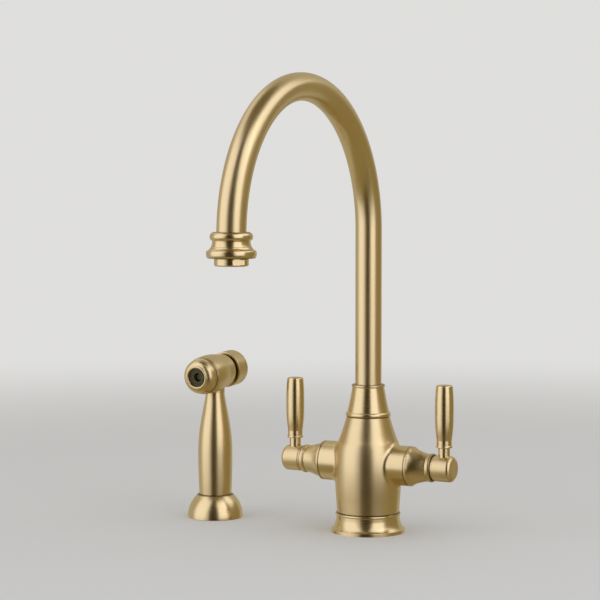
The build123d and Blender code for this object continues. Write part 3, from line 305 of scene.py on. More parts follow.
def brush_strokes(nodes, axis):
    """Fine and broad strokes that run round a turned piece, and slow smudges over it."""
    here = local_place(nodes, axis)
    split = nodes.node("ShaderNodeSeparateXYZ", inputs={0: here})
    x, y, z = split.out("X"), split.out("Y"), split.out("Z")
    radius = (x * x + y * y + 1e-9) ** 0.5
    round_x, round_y = x / radius, y / radius
    across = z + radius * FACE_SLANT
    look = bpy.context.scene.tap_finish
    fine_place = nodes.vector(round_x * FINE_TURN, round_y * FINE_TURN, across / look.stroke_width)
    broad_width = look.stroke_width * BROAD_STROKE
    broad_place = nodes.vector(round_x * BROAD_TURN, round_y * BROAD_TURN, across / broad_width)
    return fine_broad_smudge(nodes, fine_place, broad_place, here)


def fine_broad_smudge(nodes, fine_place, broad_place, here):
    """The three noises of a brushed metal."""
    look = bpy.context.scene.tap_finish
    fine = nodes.noise(fine_place, 1.0, 3.0, 0.6)
    broad = nodes.noise(broad_place, 1.0, 1.0)
    smudge = nodes.noise(here, 1 / look.smudge_width, 3.0, 0.55)
    return fine, broad, smudge


def seam_shadow(nodes, axis, seams):
    """Painted shade: one at the seams of a turned piece, and nothing a little way off. Seams are heights
    along its axis.
    """
    width = bpy.context.scene.tap_finish.seam_shade_width
    along = nodes.node("ShaderNodeSeparateXYZ", inputs={0: local_place(nodes, axis)}).out("Z")
    shadow = nodes.number(0.0)
    for seam in seams:
        shadow = shadow.math("MAXIMUM", 1 - (along - seam).math("ABSOLUTE") / width)
    return shadow


def metal(nodes, strokes, colour, shade, roughness, depth, anisotropic=0.0, shadow=None):
    """Metal whose strokes show in its colour, its gloss and its relief. Its seams are darkened with painted
    shade.
    """
    tone = sum(stroke * part for stroke, part in zip(strokes, TINT_SHARES))
    gloss = sum((stroke - 0.5) * part for stroke, part in zip(strokes, GLOSS_SHARES)) + roughness
    relief = nodes.node("ShaderNodeBump", inputs={
        "Strength": RELIEF_STRENGTH,
        "Distance": depth,
        "Height": strokes[0],
    })
    base = nodes.mix(tone, rgba(shade), rgba(colour))
    # Painted shade: the colour darkens towards the seam colour along the seams, where shadow falls between
    # pieces.
    if shadow is not None:
        look = bpy.context.scene.tap_finish
        base = nodes.mix(shadow * look.seam_shade_depth, base, rgba(look.seam))
    return nodes.node("ShaderNodeBsdfPrincipled", inputs={
        "Base Color": base,
        "Metallic": 1.0,
        "Roughness": gloss,
        "Normal": relief,
        "Anisotropic": anisotropic,
        "Anisotropic Rotation": 0.25,
    })


def gold(nodes, strokes, roughness, anisotropic=0.0, shadow=None):
    """Satin gold plating over strokes that are given."""
    look = bpy.context.scene.tap_finish
    depth = look.stroke_depth
    return metal(nodes, strokes, look.gold, look.gold_shade, roughness, depth, anisotropic, shadow)


def brushed_gold(name, axis, roughness, anisotropic=0.0, seams=()):
    """Satin gold plating, brushed round the piece."""
    material, nodes = new_material(name)
    strokes = brush_strokes(nodes, axis)
    # Painted shade along the seams, where any are given.
    shadow = seam_shadow(nodes, axis, seams) if seams else None
    finish_material(nodes, gold(nodes, strokes, roughness, anisotropic, shadow))
    return material


def branched_gold(name, roughness, seams, branch_seams):
    """Satin gold plating of the cast body: round the tap's axis, and round the arms on its branches."""
    material, nodes = new_material(name)
    here = nodes.node("ShaderNodeTexCoord").out("Object")
    out = nodes.node("ShaderNodeSeparateXYZ", inputs={0: here}).out("X").math("ABSOLUTE")
    on_branch = nodes.node("ShaderNodeMapRange", {"interpolation_type": "SMOOTHSTEP"}, {
        "Value": out, "From Min": BRANCH_ROOT, "From Max": BRANCH_START,
    })
    belly, branch = brush_strokes(nodes, TAP_AXIS), brush_strokes(nodes, ARM_AXIS)
    strokes = [a * (1 - on_branch) + b * on_branch for a, b in zip(belly, branch)]
    # Painted shade at the seams of the body and of its branches.
    shadow = seam_shadow(nodes, TAP_AXIS, seams).math("MAXIMUM", seam_shadow(nodes, ARM_AXIS, branch_seams))
    finish_material(nodes, gold(nodes, strokes, roughness, shadow=shadow))
    return material


def drawn_gold(name, roughness):
    """Satin gold plating, brushed along the spout tube. It reads the tube's own attributes."""
    material, nodes = new_material(name)
    look = bpy.context.scene.tap_finish
    along = nodes.node("ShaderNodeAttribute", {"attribute_name": "along"}).out("Fac")
    around = nodes.node("ShaderNodeAttribute", {"attribute_name": "around"}).out("Vector")
    split = nodes.node("ShaderNodeSeparateXYZ", inputs={0: around})
    x, y = split.out("X"), split.out("Y")
    here = nodes.node("ShaderNodeTexCoord").out("Object")
    width = look.stroke_width
    fine_place = nodes.vector(x / width, y / width, along / TUBE_FINE_LENGTH)
    width *= TUBE_BROAD_STROKE
    broad_place = nodes.vector(x / width, y / width, along / TUBE_BROAD_LENGTH)
    finish_material(nodes, gold(nodes, fine_broad_smudge(nodes, fine_place, broad_place, here), roughness))
    return material


def machined_metal(name, axis, colour, shade, roughness):
    """Bare metal with the marks of the lathe."""
    material, nodes = new_material(name)
    strokes = brush_strokes(nodes, axis)
    finish_material(nodes, metal(nodes, strokes, colour, shade, roughness, LATHE_DEPTH))
    return material


def drawn_wire(name, colour, shade):
    """Bright spring wire with faint drawing marks."""
    material, nodes = new_material(name)
    here = nodes.node("ShaderNodeTexCoord").out("Object")
    strokes = [nodes.noise(here, scale, 2.0) for scale in WIRE_GRAIN]
    finish_material(nodes, metal(nodes, strokes, colour, shade, WIRE_ROUGHNESS, WIRE_DEPTH))
    return material


def moulded(name, colour, shade, roughness, grain, depth):
    """Plastic, rubber or ceramic with a fine grain and slow shading."""
    material, nodes = new_material(name)
    here = nodes.node("ShaderNodeTexCoord").out("Object")
    fine = nodes.noise(here, 1 / grain, 3.0, 0.6)
    slow = nodes.noise(here, 1 / (grain * MOULD_SLOW), 2.0)
    tone = fine * MOULD_TINT[0] + slow * MOULD_TINT[1]
    relief = nodes.node("ShaderNodeBump", inputs={"Strength": 0.4, "Distance": depth, "Height": fine})
    finish_material(nodes, nodes.node("ShaderNodeBsdfPrincipled", inputs={
        "Base Color": nodes.mix(tone, rgba(shade), rgba(colour)),
        "Roughness": (fine - 0.5) * MOULD_GLOSS[0] + (slow - 0.5) * MOULD_GLOSS[1] + roughness,
        "Normal": relief,
    }))
    return material


def rose_finish(name, axis):
    """Dark face plate: turned rings, with dried water spots."""
    material, nodes = new_material(name)
    look = bpy.context.scene.tap_finish
    fine, broad, smudge = brush_strokes(nodes, axis)
    here = nodes.node("ShaderNodeTexCoord").out("Object")
    drops = nodes.node("ShaderNodeTexVoronoi", {"feature": "SMOOTH_F1"}, {
        "Vector": here, "Scale": DROPS_PER_METRE,
    })
    from_drop = drops.out("Distance")
    spots = nodes.node("ShaderNodeValToRGB", {"stops": [(0.25, 0.8), (0.5, 0.0)]}, {"Fac": from_drop})
    tone = broad * 0.5 + smudge * 0.3 + spots * 0.2
    relief = nodes.node("ShaderNodeBump", inputs={"Strength": 0.5, "Distance": 0.05 * MM, "Height": fine})
    finish_material(nodes, nodes.node("ShaderNodeBsdfPrincipled", inputs={
        "Base Color": nodes.mix(tone, rgba(look.rose_shade), rgba(look.rose)),
        "Metallic": 0.35,
        "Roughness": (fine - 0.5) * 0.15 + 0.42,
        "Normal": relief,
    }))
    return material


# ---- meshes ---------------------------------------------------------------------------------
def new_piece(name, mesh, body, replaced=(), place=None):
    """Links a finished mesh as a piece that rides on a body."""
    if place is not None:
        mesh.transform(place)
    piece = bpy.data.objects.new(name, mesh)
    bpy.context.scene.collection.objects.link(piece)
    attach(piece, body)
    if replaced:
        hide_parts(*replaced)
    return piece


def smooth(mesh, sharp_degrees=40.0):
    """Smooth shading with its sharp edges kept."""
    mesh.shade_smooth()
    mesh.set_sharp_from_angle(angle=radians(sharp_degrees))
    return mesh


def turned_mesh(name, outline, segments=96):
    """Closed mesh turned about Z from a closed outline of (radius, height) points."""
    mesh = bmesh.new()
    rings = []
    for step in range(segments):
        angle = tau * step / segments
        rings.append([mesh.verts.new((r * cos(angle), r * sin(angle), z)) for r, z in outline])
    count = len(outline)
    for step in range(segments):
        here, there = rings[step], rings[(step + 1) % segments]
        for index in range(count):
            after = (index + 1) % count
            mesh.faces.new((here[index], there[index], there[after], here[after]))
    bmesh.ops.recalc_face_normals(mesh, faces=mesh.faces)
    made = bpy.data.meshes.new(name)
    mesh.to_mesh(made)
    mesh.free()
    return made


def joined(name, meshes, material):
    """One mesh from several."""
    whole = bmesh.new()
    for mesh in meshes:
        whole.from_mesh(mesh)
    made = bpy.data.meshes.new(name)
    whole.to_mesh(made)
    whole.free()
    made.materials.clear()
    made.materials.append(material)
    for face in made.polygons:
        face.material_index = 0
    return made


# ---- geometry nodes -------------------------------------------------------------------------
SOCKETS = {float: "NodeSocketFloat", int: "NodeSocketInt"}
POINTS_PER_TURN = 40
WIRE_SIDES = 10
RIDGE_SIDES = 4


class Grower:
    """A geometry tree with named inputs. Its mesh is made once and kept plain."""

    def __init__(self, name, sizes, material):
        self.name = name
        self.sizes = sizes
        self.material = material
        self.tree = bpy.data.node_groups.new(name, "GeometryNodeTree")
        self.nodes = Nodes(self.tree)
        self.keys = {}
        for label, value in sizes.items():
            kind = SOCKETS[type(value)]
            socket = self.tree.interface.new_socket(label, in_out="INPUT", socket_type=kind)
            self.keys[label] = socket.identifier
        self.tree.interface.new_socket("Geometry", in_out="OUTPUT", socket_type="NodeSocketGeometry")
        self.group_input = self.tree.nodes.new("NodeGroupInput")

    def size(self, label):
        """A named input, for use in an expression."""
        return Value(self.nodes, self.group_input.outputs[label])

    def mesh(self, shape):
        """Ends the tree in real, dressed faces and returns them as a plain mesh."""
        real = self.nodes.node("GeometryNodeRealizeInstances", inputs={0: shape})
        dressed = self.nodes.node("GeometryNodeSetMaterial", inputs={0: real, "Material": self.material})
        self.nodes.node("NodeGroupOutput", inputs={0: dressed})
        holder = bpy.data.objects.new(self.name, bpy.data.meshes.new(self.name))
        bpy.context.scene.collection.objects.link(holder)
        modifier = holder.modifiers.new("shape", "NODES")
        modifier.node_group = self.tree
        for label, key in self.keys.items():
            modifier[key] = self.sizes[label]
        evaluated = holder.evaluated_get(bpy.context.evaluated_depsgraph_get())
        mesh = bpy.data.meshes.new_from_object(evaluated)
        holder.modifiers.remove(modifier)
        bpy.data.objects.remove(holder)
        mesh.name = self.name
        return mesh


def swept(nodes, path, profile):
    """Mesh of a profile that follows a path, with its normals level."""
    level = nodes.node("GeometryNodeSetCurveNormal", {"mode": "Z_UP"}, {"Curve": path})
    return nodes.node("GeometryNodeCurveToMesh", inputs={
        "Curve": level, "Profile Curve": profile, "Fill Caps": True,
    })


def ruled_path(nodes, count, place):
    """Path of some points, each put where a rule says. The rule takes the share of the way along."""
    line = nodes.node("GeometryNodeCurvePrimitiveLine", inputs={"End": (0, 0, 1)})
    points = nodes.node("GeometryNodeResampleCurve", inputs={"Curve": line, "Count": count})
    share = nodes.node("GeometryNodeSplineParameter")
    return nodes.node("GeometryNodeSetPosition", inputs={"Geometry": points, "Position": place(share)})


def stored(nodes, curve, kind, name, value):
    """Keeps a value on a curve's points, so that the swept mesh carries it."""
    return nodes.node("GeometryNodeStoreNamedAttribute", {"data_type": kind, "domain": "POINT"}, {
        "Geometry": curve, "Name": name, "Value": value,
    })


def coil_mesh(name, radius, wire_r, height, turns, closed, sides, material, runout=0.0):
    """Round coil about Z: a spring, or the ridge of a thread, which has no closed turns and runs out."""
    sizes = {
        "Radius": radius, "Wire radius": wire_r, "Height": height, "Runout": runout,
        "Turns": float(turns), "Closed turns": float(closed), "Sides": sides,
        "Points": int(turns * POINTS_PER_TURN),
    }
    grower = Grower(name, sizes, material)
    nodes = grower.nodes
    radius, wire_r, height = grower.size("Radius"), grower.size("Wire radius"), grower.size("Height")
    turns, closed = grower.size("Turns"), grower.size("Closed turns")

    def place(share):
        wound = share * turns
        angle = wound * tau
        rise = wound.math("MINIMUM", closed) + (wound - turns + closed).math("MAXIMUM", 0.0)
        free = ((wound - closed) / (turns - closed * 2)).math("MAXIMUM", 0.0).math("MINIMUM", 1.0)
        up = rise * wire_r * 2 + (height - wire_r * 2 - wire_r * closed * 4) * free + wire_r
        full = (wound.math("MINIMUM", turns - wound) * 2).math("MINIMUM", 1.0)
        out = radius - (1 - full) * grower.size("Runout")
        return nodes.vector(angle.math("COSINE") * out, angle.math("SINE") * out, up)

    path = ruled_path(nodes, grower.size("Points"), place)
    wire = nodes.node("GeometryNodeCurvePrimitiveCircle", inputs={
        "Resolution": grower.size("Sides"), "Radius": wire_r,
    })
    return grower.mesh(swept(nodes, path, wire))


def thread_ridge(name, radius, pitch, height, material):
    """Ridge of a thread whose crest is at a radius. It stands on the ground."""
    ridge_r = pitch / 2
    turns = height / pitch - 1
    return coil_mesh(name, radius - ridge_r, ridge_r, height, turns, 0.0, RIDGE_SIDES, material, ridge_r)


# ---- sizes and colours a user would change --------------------------------------------------
def a_length(name, description, default):
    return FloatProperty(
        name=name, description=description, default=default, min=0.0, unit="LENGTH", precision=5)


def a_number(name, description, default):
    return FloatProperty(name=name, description=description, default=default, min=0.0)


def a_colour(name, description, default):
    return FloatVectorProperty(
        name=name, description=description, default=default, size=3, min=0.0, max=1.0, subtype="COLOR")


def a_share(name, description, default):
    return FloatProperty(
        name=name, description=description, default=default, min=0.0, max=1.0, subtype="FACTOR")


class TapFinish(bpy.types.PropertyGroup):
    """Colours of the finishes and the grain that is in them."""

    gold: a_colour("Gold", "Satin gold plating where it is bright", (0.83, 0.65, 0.36))
    gold_shade: a_colour("Gold, dark", "Satin gold plating at the bottom of a stroke", (0.78, 0.60, 0.315))
    # Painted shade: a dark line along the seams between plated pieces, where shadow falls in the gaps.
    seam: a_colour("Seam", "Dark line of lacquer and shadow where two pieces meet", (0.12, 0.075, 0.02))
    seam_shade_width: a_length("Seam width", "Half the width of that line", 0.9 * MM)
    seam_shade_depth: a_share("Seam depth", "How dark that line is", 0.85)
    rose: a_colour("Rose plate", "Dark face plate of the spray", (0.13, 0.112, 0.045))
    rose_shade: a_colour("Rose plate, dark", "Face plate between the rings", (0.04, 0.034, 0.012))
    brass: a_colour("Raw brass", "Machined brass that is not plated", (0.72, 0.53, 0.24))
    brass_shade: a_colour("Raw brass, dark", "Tarnish in the machining marks", (0.42, 0.27, 0.10))
    steel: a_colour("Steel", "Washers, screws and springs", (0.66, 0.66, 0.67))
    steel_shade: a_colour("Steel, dark", "Machining marks of the steel", (0.38, 0.38, 0.40))
    ceramic: a_colour("Ceramic", "Lapped discs of the valves", (0.88, 0.87, 0.83))
    ceramic_shade: a_colour("Ceramic, dark", "Slow shading of the ceramic", (0.74, 0.73, 0.69))
    rubber: a_colour("Rubber", "Seals and washers", (0.028, 0.028, 0.028))
    rubber_shade: a_colour("Rubber, dark", "Slow shading of the rubber", (0.014, 0.014, 0.014))
    plastic: a_colour("Plastic", "Bushes, rings and the flow straightener", (0.84, 0.84, 0.81))
    plastic_shade: a_colour("Plastic, dark", "Slow shading of the plastic", (0.70, 0.70, 0.67))
    stroke_width: a_length("Stroke width", "Width of one brush stroke", 0.22 * MM)
    stroke_depth: a_length("Stroke depth", "Depth of one brush stroke", 0.0005 * MM)
    smudge_width: a_length("Smudge width", "Size of the slow shading of the finish", 22 * MM)
    satin: a_share("Satin roughness", "Roughness of the body, the spout and the grip", 0.30)
    fine_satin: a_share("Fine satin roughness", "Roughness of the bonnets, the hubs and the spray head", 0.32)
    crisp: a_share("Crisp roughness", "Roughness of the rings, the cones and the levers", 0.26)


class TapSizes(bpy.types.PropertyGroup):
    """Sizes of the pieces that are made here."""

    tube_wall: a_length("Tube wall", "Wall of the spout tube", 1.4 * MM)
    tube_sides: IntProperty(
        name="Tube sides", description="Faces round the spout tube", default=72, min=12)
    tube_steps: IntProperty(
        name="Tube steps", description="Rings of faces along the tube", default=180, min=24)
    shank_pitch: a_length("Shank pitch", "Pitch of the thread on the tap's shank", 2.0 * MM)
    shank_wall: a_length("Shank wall", "Wall of the tap's shank", 2.6 * MM)
    spray_shank_wall: a_length("Spray shank wall", "Wall of the spray's shank", 1.9 * MM)
    wire: a_length("Spring wire", "Diameter of the spring wire", 0.9 * MM)
    button_turns: a_number("Button spring turns", "Turns of the return spring", 5.0)
    button_closed: a_number("Button spring ends", "Turns that lie closed at each end of it", 1.0)
    diverter_turns: a_number("Diverter spring turns", "Turns of the small spring", 3.5)
    diverter_closed: a_number("Diverter spring ends", "Turns that lie closed at each end of it", 0.7)


class TapStudio(bpy.types.PropertyGroup):
    """Camera, backdrop and lamps."""

    heading: FloatProperty(
        name="Heading", description="Turn of the view from the spout", default=radians(28.207),
        subtype="ANGLE")
    pitch: FloatProperty(
        name="Pitch", description="Slope of the view down", default=radians(3.355), subtype="ANGLE")
    distance: a_length("Distance", "From the tap's axis to the camera, over the floor", 1.55875)
    side_step: FloatProperty(
        name="Side step", description="Camera to the left of the tap's axis", default=0.05732, unit="LENGTH")
    height: a_length("Height", "Camera above the deck", 0.28622)
    lens: FloatProperty(name="Lens", description="Focal length", default=111.965, min=1.0, unit="CAMERA")
    backdrop: a_colour("Backdrop", "Pale floor and background", (0.74, 0.735, 0.72))
    ambient: a_share("Ambient", "Light that comes from all round", 0.85)
    left_light: a_number("Left light", "Brightness of the left softbox", 0.48)
    right_light: a_number("Right light", "Brightness of the right softbox", 0.62)
    high_light: a_number("High light", "Brightness of the high softbox", 0.60)
    light_tint: a_colour("Light", "Colour of the softboxes", (0.90, 0.92, 1.0))
    dark: a_colour("Dark card", "Cards that the front of the metal mirrors", (0.030, 0.020, 0.003))
    shadow: a_colour("Shadow card", "Cards beside the dark one and over the tap", (0.14, 0.11, 0.04))
    dim: a_colour("Dim card", "Cards at the right, on the table and under a softbox", (0.28, 0.235, 0.115))
    grey: a_colour("Grey card", "Cards behind the tap", (0.46, 0.44, 0.36))
    cool: a_colour("Cool card", "Cards behind the softboxes", (0.69, 0.70, 0.79))


# ---- pieces ---------------------------------------------------------------------------------
def dress(material, *nodes):
    """Gives carried nodes a material."""
    for node in nodes:
        mesh = frame["nodes"][node].data
        mesh.materials.clear()
        mesh.materials.append(material)


class TAP_OT_gold(bpy.types.Operator):
    """Dresses the plated pieces in satin gold, brushed round each one's own axis"""

    bl_idname = "tap.gold"
    bl_label = "Gold plating"

    def execute(self, context):
        look = context.scene.tap_finish
        # Heights of the seams where painted shade darkens the plating.
        flange_top = reach_along("base_flange", TAP_AXIS)[1]
        collar_low, collar_top = reach_along("upper_collar", TAP_AXIS)
        flange_seams = [flange_top]
        collar_seams = [collar_low, collar_top]
        arm_ends = reach_along("right_bonnet", ARM_AXIS)
        arm_seams = [side * end for side in (-1, 1) for end in arm_ends]
        spout_seams = reach_along("spout_end", SPOUT_END_AXIS)
        spray_seams = [reach_along("spray_base", SPRAY_AXIS)[1]]
        head_seams = [BARREL_BACK, BARREL_FRONT, reach_along("nose_ring", HEAD_AXIS)[0]]

        dress(branched_gold("gold_body", look.satin, [flange_top, collar_low], arm_seams), "body")
        for name, axis, roughness, anisotropic, seams, pieces in (
            ("gold_flange", TAP_AXIS, look.crisp, 0.4, flange_seams, ["base_flange"]),
            ("gold_collar", TAP_AXIS, look.crisp, 0.4, collar_seams, ["upper_collar"]),
            ("gold_arms", ARM_AXIS, look.fine_satin, 0.85, arm_seams,
             ["left_bonnet", "right_bonnet", "left_hub", "right_hub"]),
            ("gold_left_lever", LEVER_AXES["left"], look.crisp, 0.4, [], ["left_lever"]),
            ("gold_right_lever", LEVER_AXES["right"], look.crisp, 0.4, [], ["right_lever"]),
            ("gold_spout_end", SPOUT_END_AXIS, look.crisp, 0.4, spout_seams,
             ["spout_end", "aerator_housing"]),
            ("gold_spray_base", SPRAY_AXIS, look.crisp, 0.4, spray_seams, ["spray_base"]),
            ("gold_spray_handle", SPRAY_AXIS, look.satin, 0.3, spray_seams, ["spray_handle"]),
            ("gold_spray_head", HEAD_AXIS, look.fine_satin, 0.0, head_seams, ["spray_head", "nose_ring"]),
            ("gold_button", HEAD_AXIS, look.fine_satin, 0.0, [], ["button_cap"]),
        ):
            dress(brushed_gold(name, axis, roughness, anisotropic, seams), *pieces)
        return {"FINISHED"}


class TAP_OT_fittings(bpy.types.Operator):
    """Dresses the rose and everything that is inside the tap or under the deck"""

    bl_idname = "tap.fittings"
    bl_label = "Inner fittings"

    def execute(self, context):
        look = context.scene.tap_finish
        for name, axis, roughness, pieces in (
            ("brass_upright", TAP_AXIS, TURNED_ROUGHNESS,
             ["back_nut", "spigot", "diverter_seat", "diverter_piston", "mounting_shank"]),
            ("brass_spray", SPRAY_AXIS, TURNED_ROUGHNESS,
             ["spray_back_nut", "spray_shank", "coupling_nut", "hose_coupling"]),
            ("brass_arms", ARM_AXIS, VALVE_ROUGHNESS,
             ["left_cartridge_body", "left_spindle", "right_cartridge_body", "right_spindle"]),
            ("brass_stem", HEAD_AXIS, POLISHED_ROUGHNESS, ["button_stem"]),
        ):
            dress(machined_metal(name, axis, look.brass, look.brass_shade, roughness), *pieces)
        steel = machined_metal("steel_turned", TAP_AXIS, look.steel, look.steel_shade, POLISHED_ROUGHNESS)
        dress(steel, "steel_washer", "retaining_screw", "left_grub_screw", "right_grub_screw")

        for name, colour, shade, roughness, grain, depth, pieces in (
            ("ceramic_lapped", look.ceramic, look.ceramic_shade, 0.22, 0.3 * MM, 0.01 * MM,
             ["left_fixed_disc", "left_turning_disc", "right_fixed_disc", "right_turning_disc"]),
            ("rubber_moulded", look.rubber, look.rubber_shade, 0.62, 0.25 * MM, 0.05 * MM,
             ["base_seal", "rubber_washer", "left_cartridge_seal", "right_cartridge_seal", "spigot_seals",
              "aerator_washer", "spray_base_seal", "spray_washer", "stem_seal", "coupling_seal",
              "valve_seal"]),
            ("plastic_moulded", look.plastic, look.plastic_shade, 0.42, 0.35 * MM, 0.03 * MM,
             ["glide_ring", "guide_bush", "aerator_insert"]),
        ):
            dress(moulded(name, colour, shade, roughness, grain, depth), *pieces)
        dress(rose_finish("rose_turned", HEAD_AXIS), "spray_rose", "rose_plug")
        return {"FINISHED"}


class TAP_OT_spout_tube(bpy.types.Operator):
    """Bends the spout tube: up from the collar, over in half a circle and down into the spout's end"""

    bl_idname = "tap.spout_tube"
    bl_label = "Spout tube"

    def execute(self, context):
        sizes = context.scene.tap_sizes
        low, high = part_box("spout_tube")
        radius = size("spout_tube").x / 2
        arch = (high.y - low.y) / 2 - radius
        arch_foot = high.z - arch - radius
        grower = Grower("spout_tube_bent", {
            "Radius": radius,
            "Arch radius": arch,
            "Foot height": low.z,
            "Straight leg": arch_foot - low.z,
            "Short leg": TUBE_INSERTED,
            "Sides": sizes.tube_sides,
            "Steps": sizes.tube_steps,
        }, drawn_gold("gold_tube", context.scene.tap_finish.satin))
        nodes = grower.nodes
        arch_r, leg = grower.size("Arch radius"), grower.size("Straight leg")
        whole = leg + arch_r * pi + grower.size("Short leg")

        def place(way):
            run = way * whole
            bend = ((run - leg) / arch_r).math("MAXIMUM", 0.0).math("MINIMUM", pi)
            down = (run - leg - arch_r * pi).math("MAXIMUM", 0.0)
            up = grower.size("Foot height") + run.math("MINIMUM", leg) + bend.math("SINE") * arch_r - down
            return nodes.vector(0.0, (bend.math("COSINE") - 1.0) * arch_r, up)

        path = ruled_path(nodes, grower.size("Steps"), place)
        profile = nodes.node("GeometryNodeCurvePrimitiveCircle", inputs={
            "Resolution": grower.size("Sides"), "Radius": grower.size("Radius"),
        })
        along = nodes.node("GeometryNodeSplineParameter").out("Length")
        path = stored(nodes, path, "FLOAT", "along", along)
        profile = stored(nodes, profile, "FLOAT_VECTOR", "around", nodes.node("GeometryNodeInputPosition"))
        shape = nodes.node("GeometryNodeCurveToMesh", inputs={"Curve": path, "Profile Curve": profile})
        mesh = smooth(grower.mesh(shape))
        piece = new_piece("spout_tube_bent", mesh, "spout", ["spout_tube"])
        wall = piece.modifiers.new("wall", "SOLIDIFY")
        wall.thickness = sizes.tube_wall
        wall.offset = -1.0
        return {"FINISHED"}


class TAP_OT_threads(bpy.types.Operator):
    """Cuts the threads of both shanks"""

    bl_idname = "tap.threads"
    bl_label = "Threads"

    def execute(self, context):
        sizes = context.scene.tap_sizes
        for node, axis, wall, pitch in (
            ("mounting_shank", TAP_AXIS, sizes.shank_wall, sizes.shank_pitch),
            ("spray_shank", SPRAY_AXIS, sizes.spray_shank_wall, sizes.shank_pitch * SPRAY_PITCH),
        ):
            low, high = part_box(node)
            radius = size(node).x / 2
            root = radius - pitch / 2
            bore = radius - wall
            outline = [
                (bore, low.z), (root - SHANK_CHAMFER, low.z), (root, low.z + SHANK_CHAMFER),
                (root, high.z - SHANK_CHAMFER), (root - SHANK_CHAMFER, high.z), (bore, high.z),
            ]
            material = frame["nodes"][node].data.materials[0]
            tube = turned_mesh(f"{node}_tube", outline)
            ridge = thread_ridge(f"{node}_ridge", radius, pitch, high.z - low.z, material)
            ridge.transform(Matrix.Translation((0, 0, low.z)))
            mesh = smooth(joined(f"{node}_threaded", [tube, ridge], material), 30.0)
            new_piece(f"{node}_threaded", mesh, "tap_body", [node], axis)
        return {"FINISHED"}


class TAP_OT_springs(bpy.types.Operator):
    """Winds the return spring of the push button and the diverter's spring"""

    bl_idname = "tap.springs"
    bl_label = "Springs"

    def execute(self, context):
        sizes = context.scene.tap_sizes
        look = context.scene.tap_finish
        wire_r = sizes.wire / 2
        drawn = drawn_wire("steel_wire", look.steel, look.steel_shade)

        low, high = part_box("diverter_spring")
        radius = size("diverter_spring").x / 2 - wire_r
        tall = high.z - low.z
        turns, closed = sizes.diverter_turns, sizes.diverter_closed
        mesh = coil_mesh("diverter_spring_coil", radius, wire_r, tall, turns, closed, WIRE_SIDES, drawn)
        place = Matrix.Translation((0, 0, low.z))
        coil = new_piece("diverter_spring_coil", smooth(mesh), "diverter_piston",
                         ["diverter_spring"], place)
        travel = joint_travel("diverter_slide")
        1 - travel / tall
        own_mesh(coil)

        back, front = reach_along("button_spring", HEAD_AXIS)
        radius = radius_about("button_spring", HEAD_AXIS) - wire_r
        tall = front - back
        turns, closed = sizes.button_turns, sizes.button_closed
        mesh = coil_mesh("button_spring_coil", radius, wire_r, tall, turns, closed, WIRE_SIDES, drawn)
        place = HEAD_AXIS @ Matrix.Translation((0, 0, back))
        coil = new_piece("button_spring_coil", smooth(mesh), "spray_button",
                         ["button_spring"], place)
        travel = joint_travel("spray_button_press")
        anchor = HEAD_AXIS @ Vector((0, 0, back))
        1 - travel / tall
        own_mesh(coil)
        return {"FINISHED"}


# ---- studio ---------------------------------------------------------------------------------
def camera_axes(studio):
    """Unit vectors over the floor: the way the camera looks, and its right."""
    forward = Vector((-sin(studio.heading), cos(studio.heading), 0))
    return forward, Vector((cos(studio.heading), sin(studio.heading), 0))


def add_camera(studio):
    forward, right = camera_axes(studio)
    data = bpy.data.cameras.new("view")
    data.lens = studio.lens
    data.sensor_width = 36.0
    data.clip_end = 50.0
    camera = bpy.data.objects.new("view", data)
    bpy.context.scene.collection.objects.link(camera)
    camera.location = forward * -studio.distance - right * studio.side_step + Vector((0, 0, studio.height))
    look = forward * cos(studio.pitch) - Vector((0, 0, sin(studio.pitch)))
    camera.rotation_euler = look.to_track_quat("-Z", "Y").to_euler()
    bpy.context.scene.camera = camera


def outwards(studio, bearing, rise):
    """Unit vector away from the tap. The bearing runs from the camera's side to its right, in degrees."""
    forward, right = camera_axes(studio)
    turn, up = radians(bearing), radians(rise)
    return (right * sin(turn) - forward * cos(turn)) * cos(up) + Vector((0, 0, sin(up)))


def softbox(studio, name, bearing, rise, wide_angle, high_angle, brightness):
    """Lamp that faces the tap and fills two angles as the tap sees it."""
    away = outwards(studio, bearing, rise)
    data = bpy.data.lights.new(name, "AREA")
    data.shape = "RECTANGLE"
    data.size = 2 * LAMPS_AWAY * tan(radians(wide_angle / 2))
    data.size_y = 2 * LAMPS_AWAY * tan(radians(high_angle / 2))
    data.energy = brightness * pi * data.size * data.size_y
    data.color = studio.light_tint
    lamp = bpy.data.objects.new(name, data)
    facing = (-away).to_track_quat("-Z", "Y").to_matrix().to_4x4()
    lamp.matrix_world = Matrix.Translation(TAP_MIDDLE + away * LAMPS_AWAY) @ facing
    lamp.visible_camera = False
    bpy.context.scene.collection.objects.link(lamp)


def mirrored_card(studio, name, bearings, rises, shade):
    """Curved card round the tap that only the metal's reflections see."""
    across, up = CARD_FACES
    mesh = bmesh.new()
    grid = []
    for row in range(up + 1):
        rise = rises[0] + (rises[1] - rises[0]) * row / up
        turns = [bearings[0] + (bearings[1] - bearings[0]) * step / across for step in range(across + 1)]
        places = [TAP_MIDDLE + outwards(studio, turn, rise) * CARDS_AWAY for turn in turns]
        grid.append([mesh.verts.new(place) for place in places])
    for low, high in zip(grid, grid[1:]):
        for index in range(across):
            mesh.faces.new((low[index], high[index], high[index + 1], low[index + 1]))
    data = bpy.data.meshes.new(name)
    mesh.to_mesh(data)
    mesh.free()
    material, nodes = new_material(name)
    finish_material(nodes, nodes.node("ShaderNodeEmission", inputs={"Color": rgba(shade), "Strength": 1.0}))
    data.materials.append(material)
    card = bpy.data.objects.new(name, data)
    bpy.context.scene.collection.objects.link(card)
    card.visible_camera = False
    card.visible_diffuse = False
    card.visible_shadow = False
    card.visible_transmission = False


def seen_rays(nodes):
    """One where the camera, a reflection or a refraction looks, and nothing for the light on the object."""
    path = nodes.node("ShaderNodeLightPath")
    seen = path.out("Is Camera Ray") + path.out("Is Glossy Ray") + path.out("Is Transmission Ray")
    return seen.math("MINIMUM", 1.0)


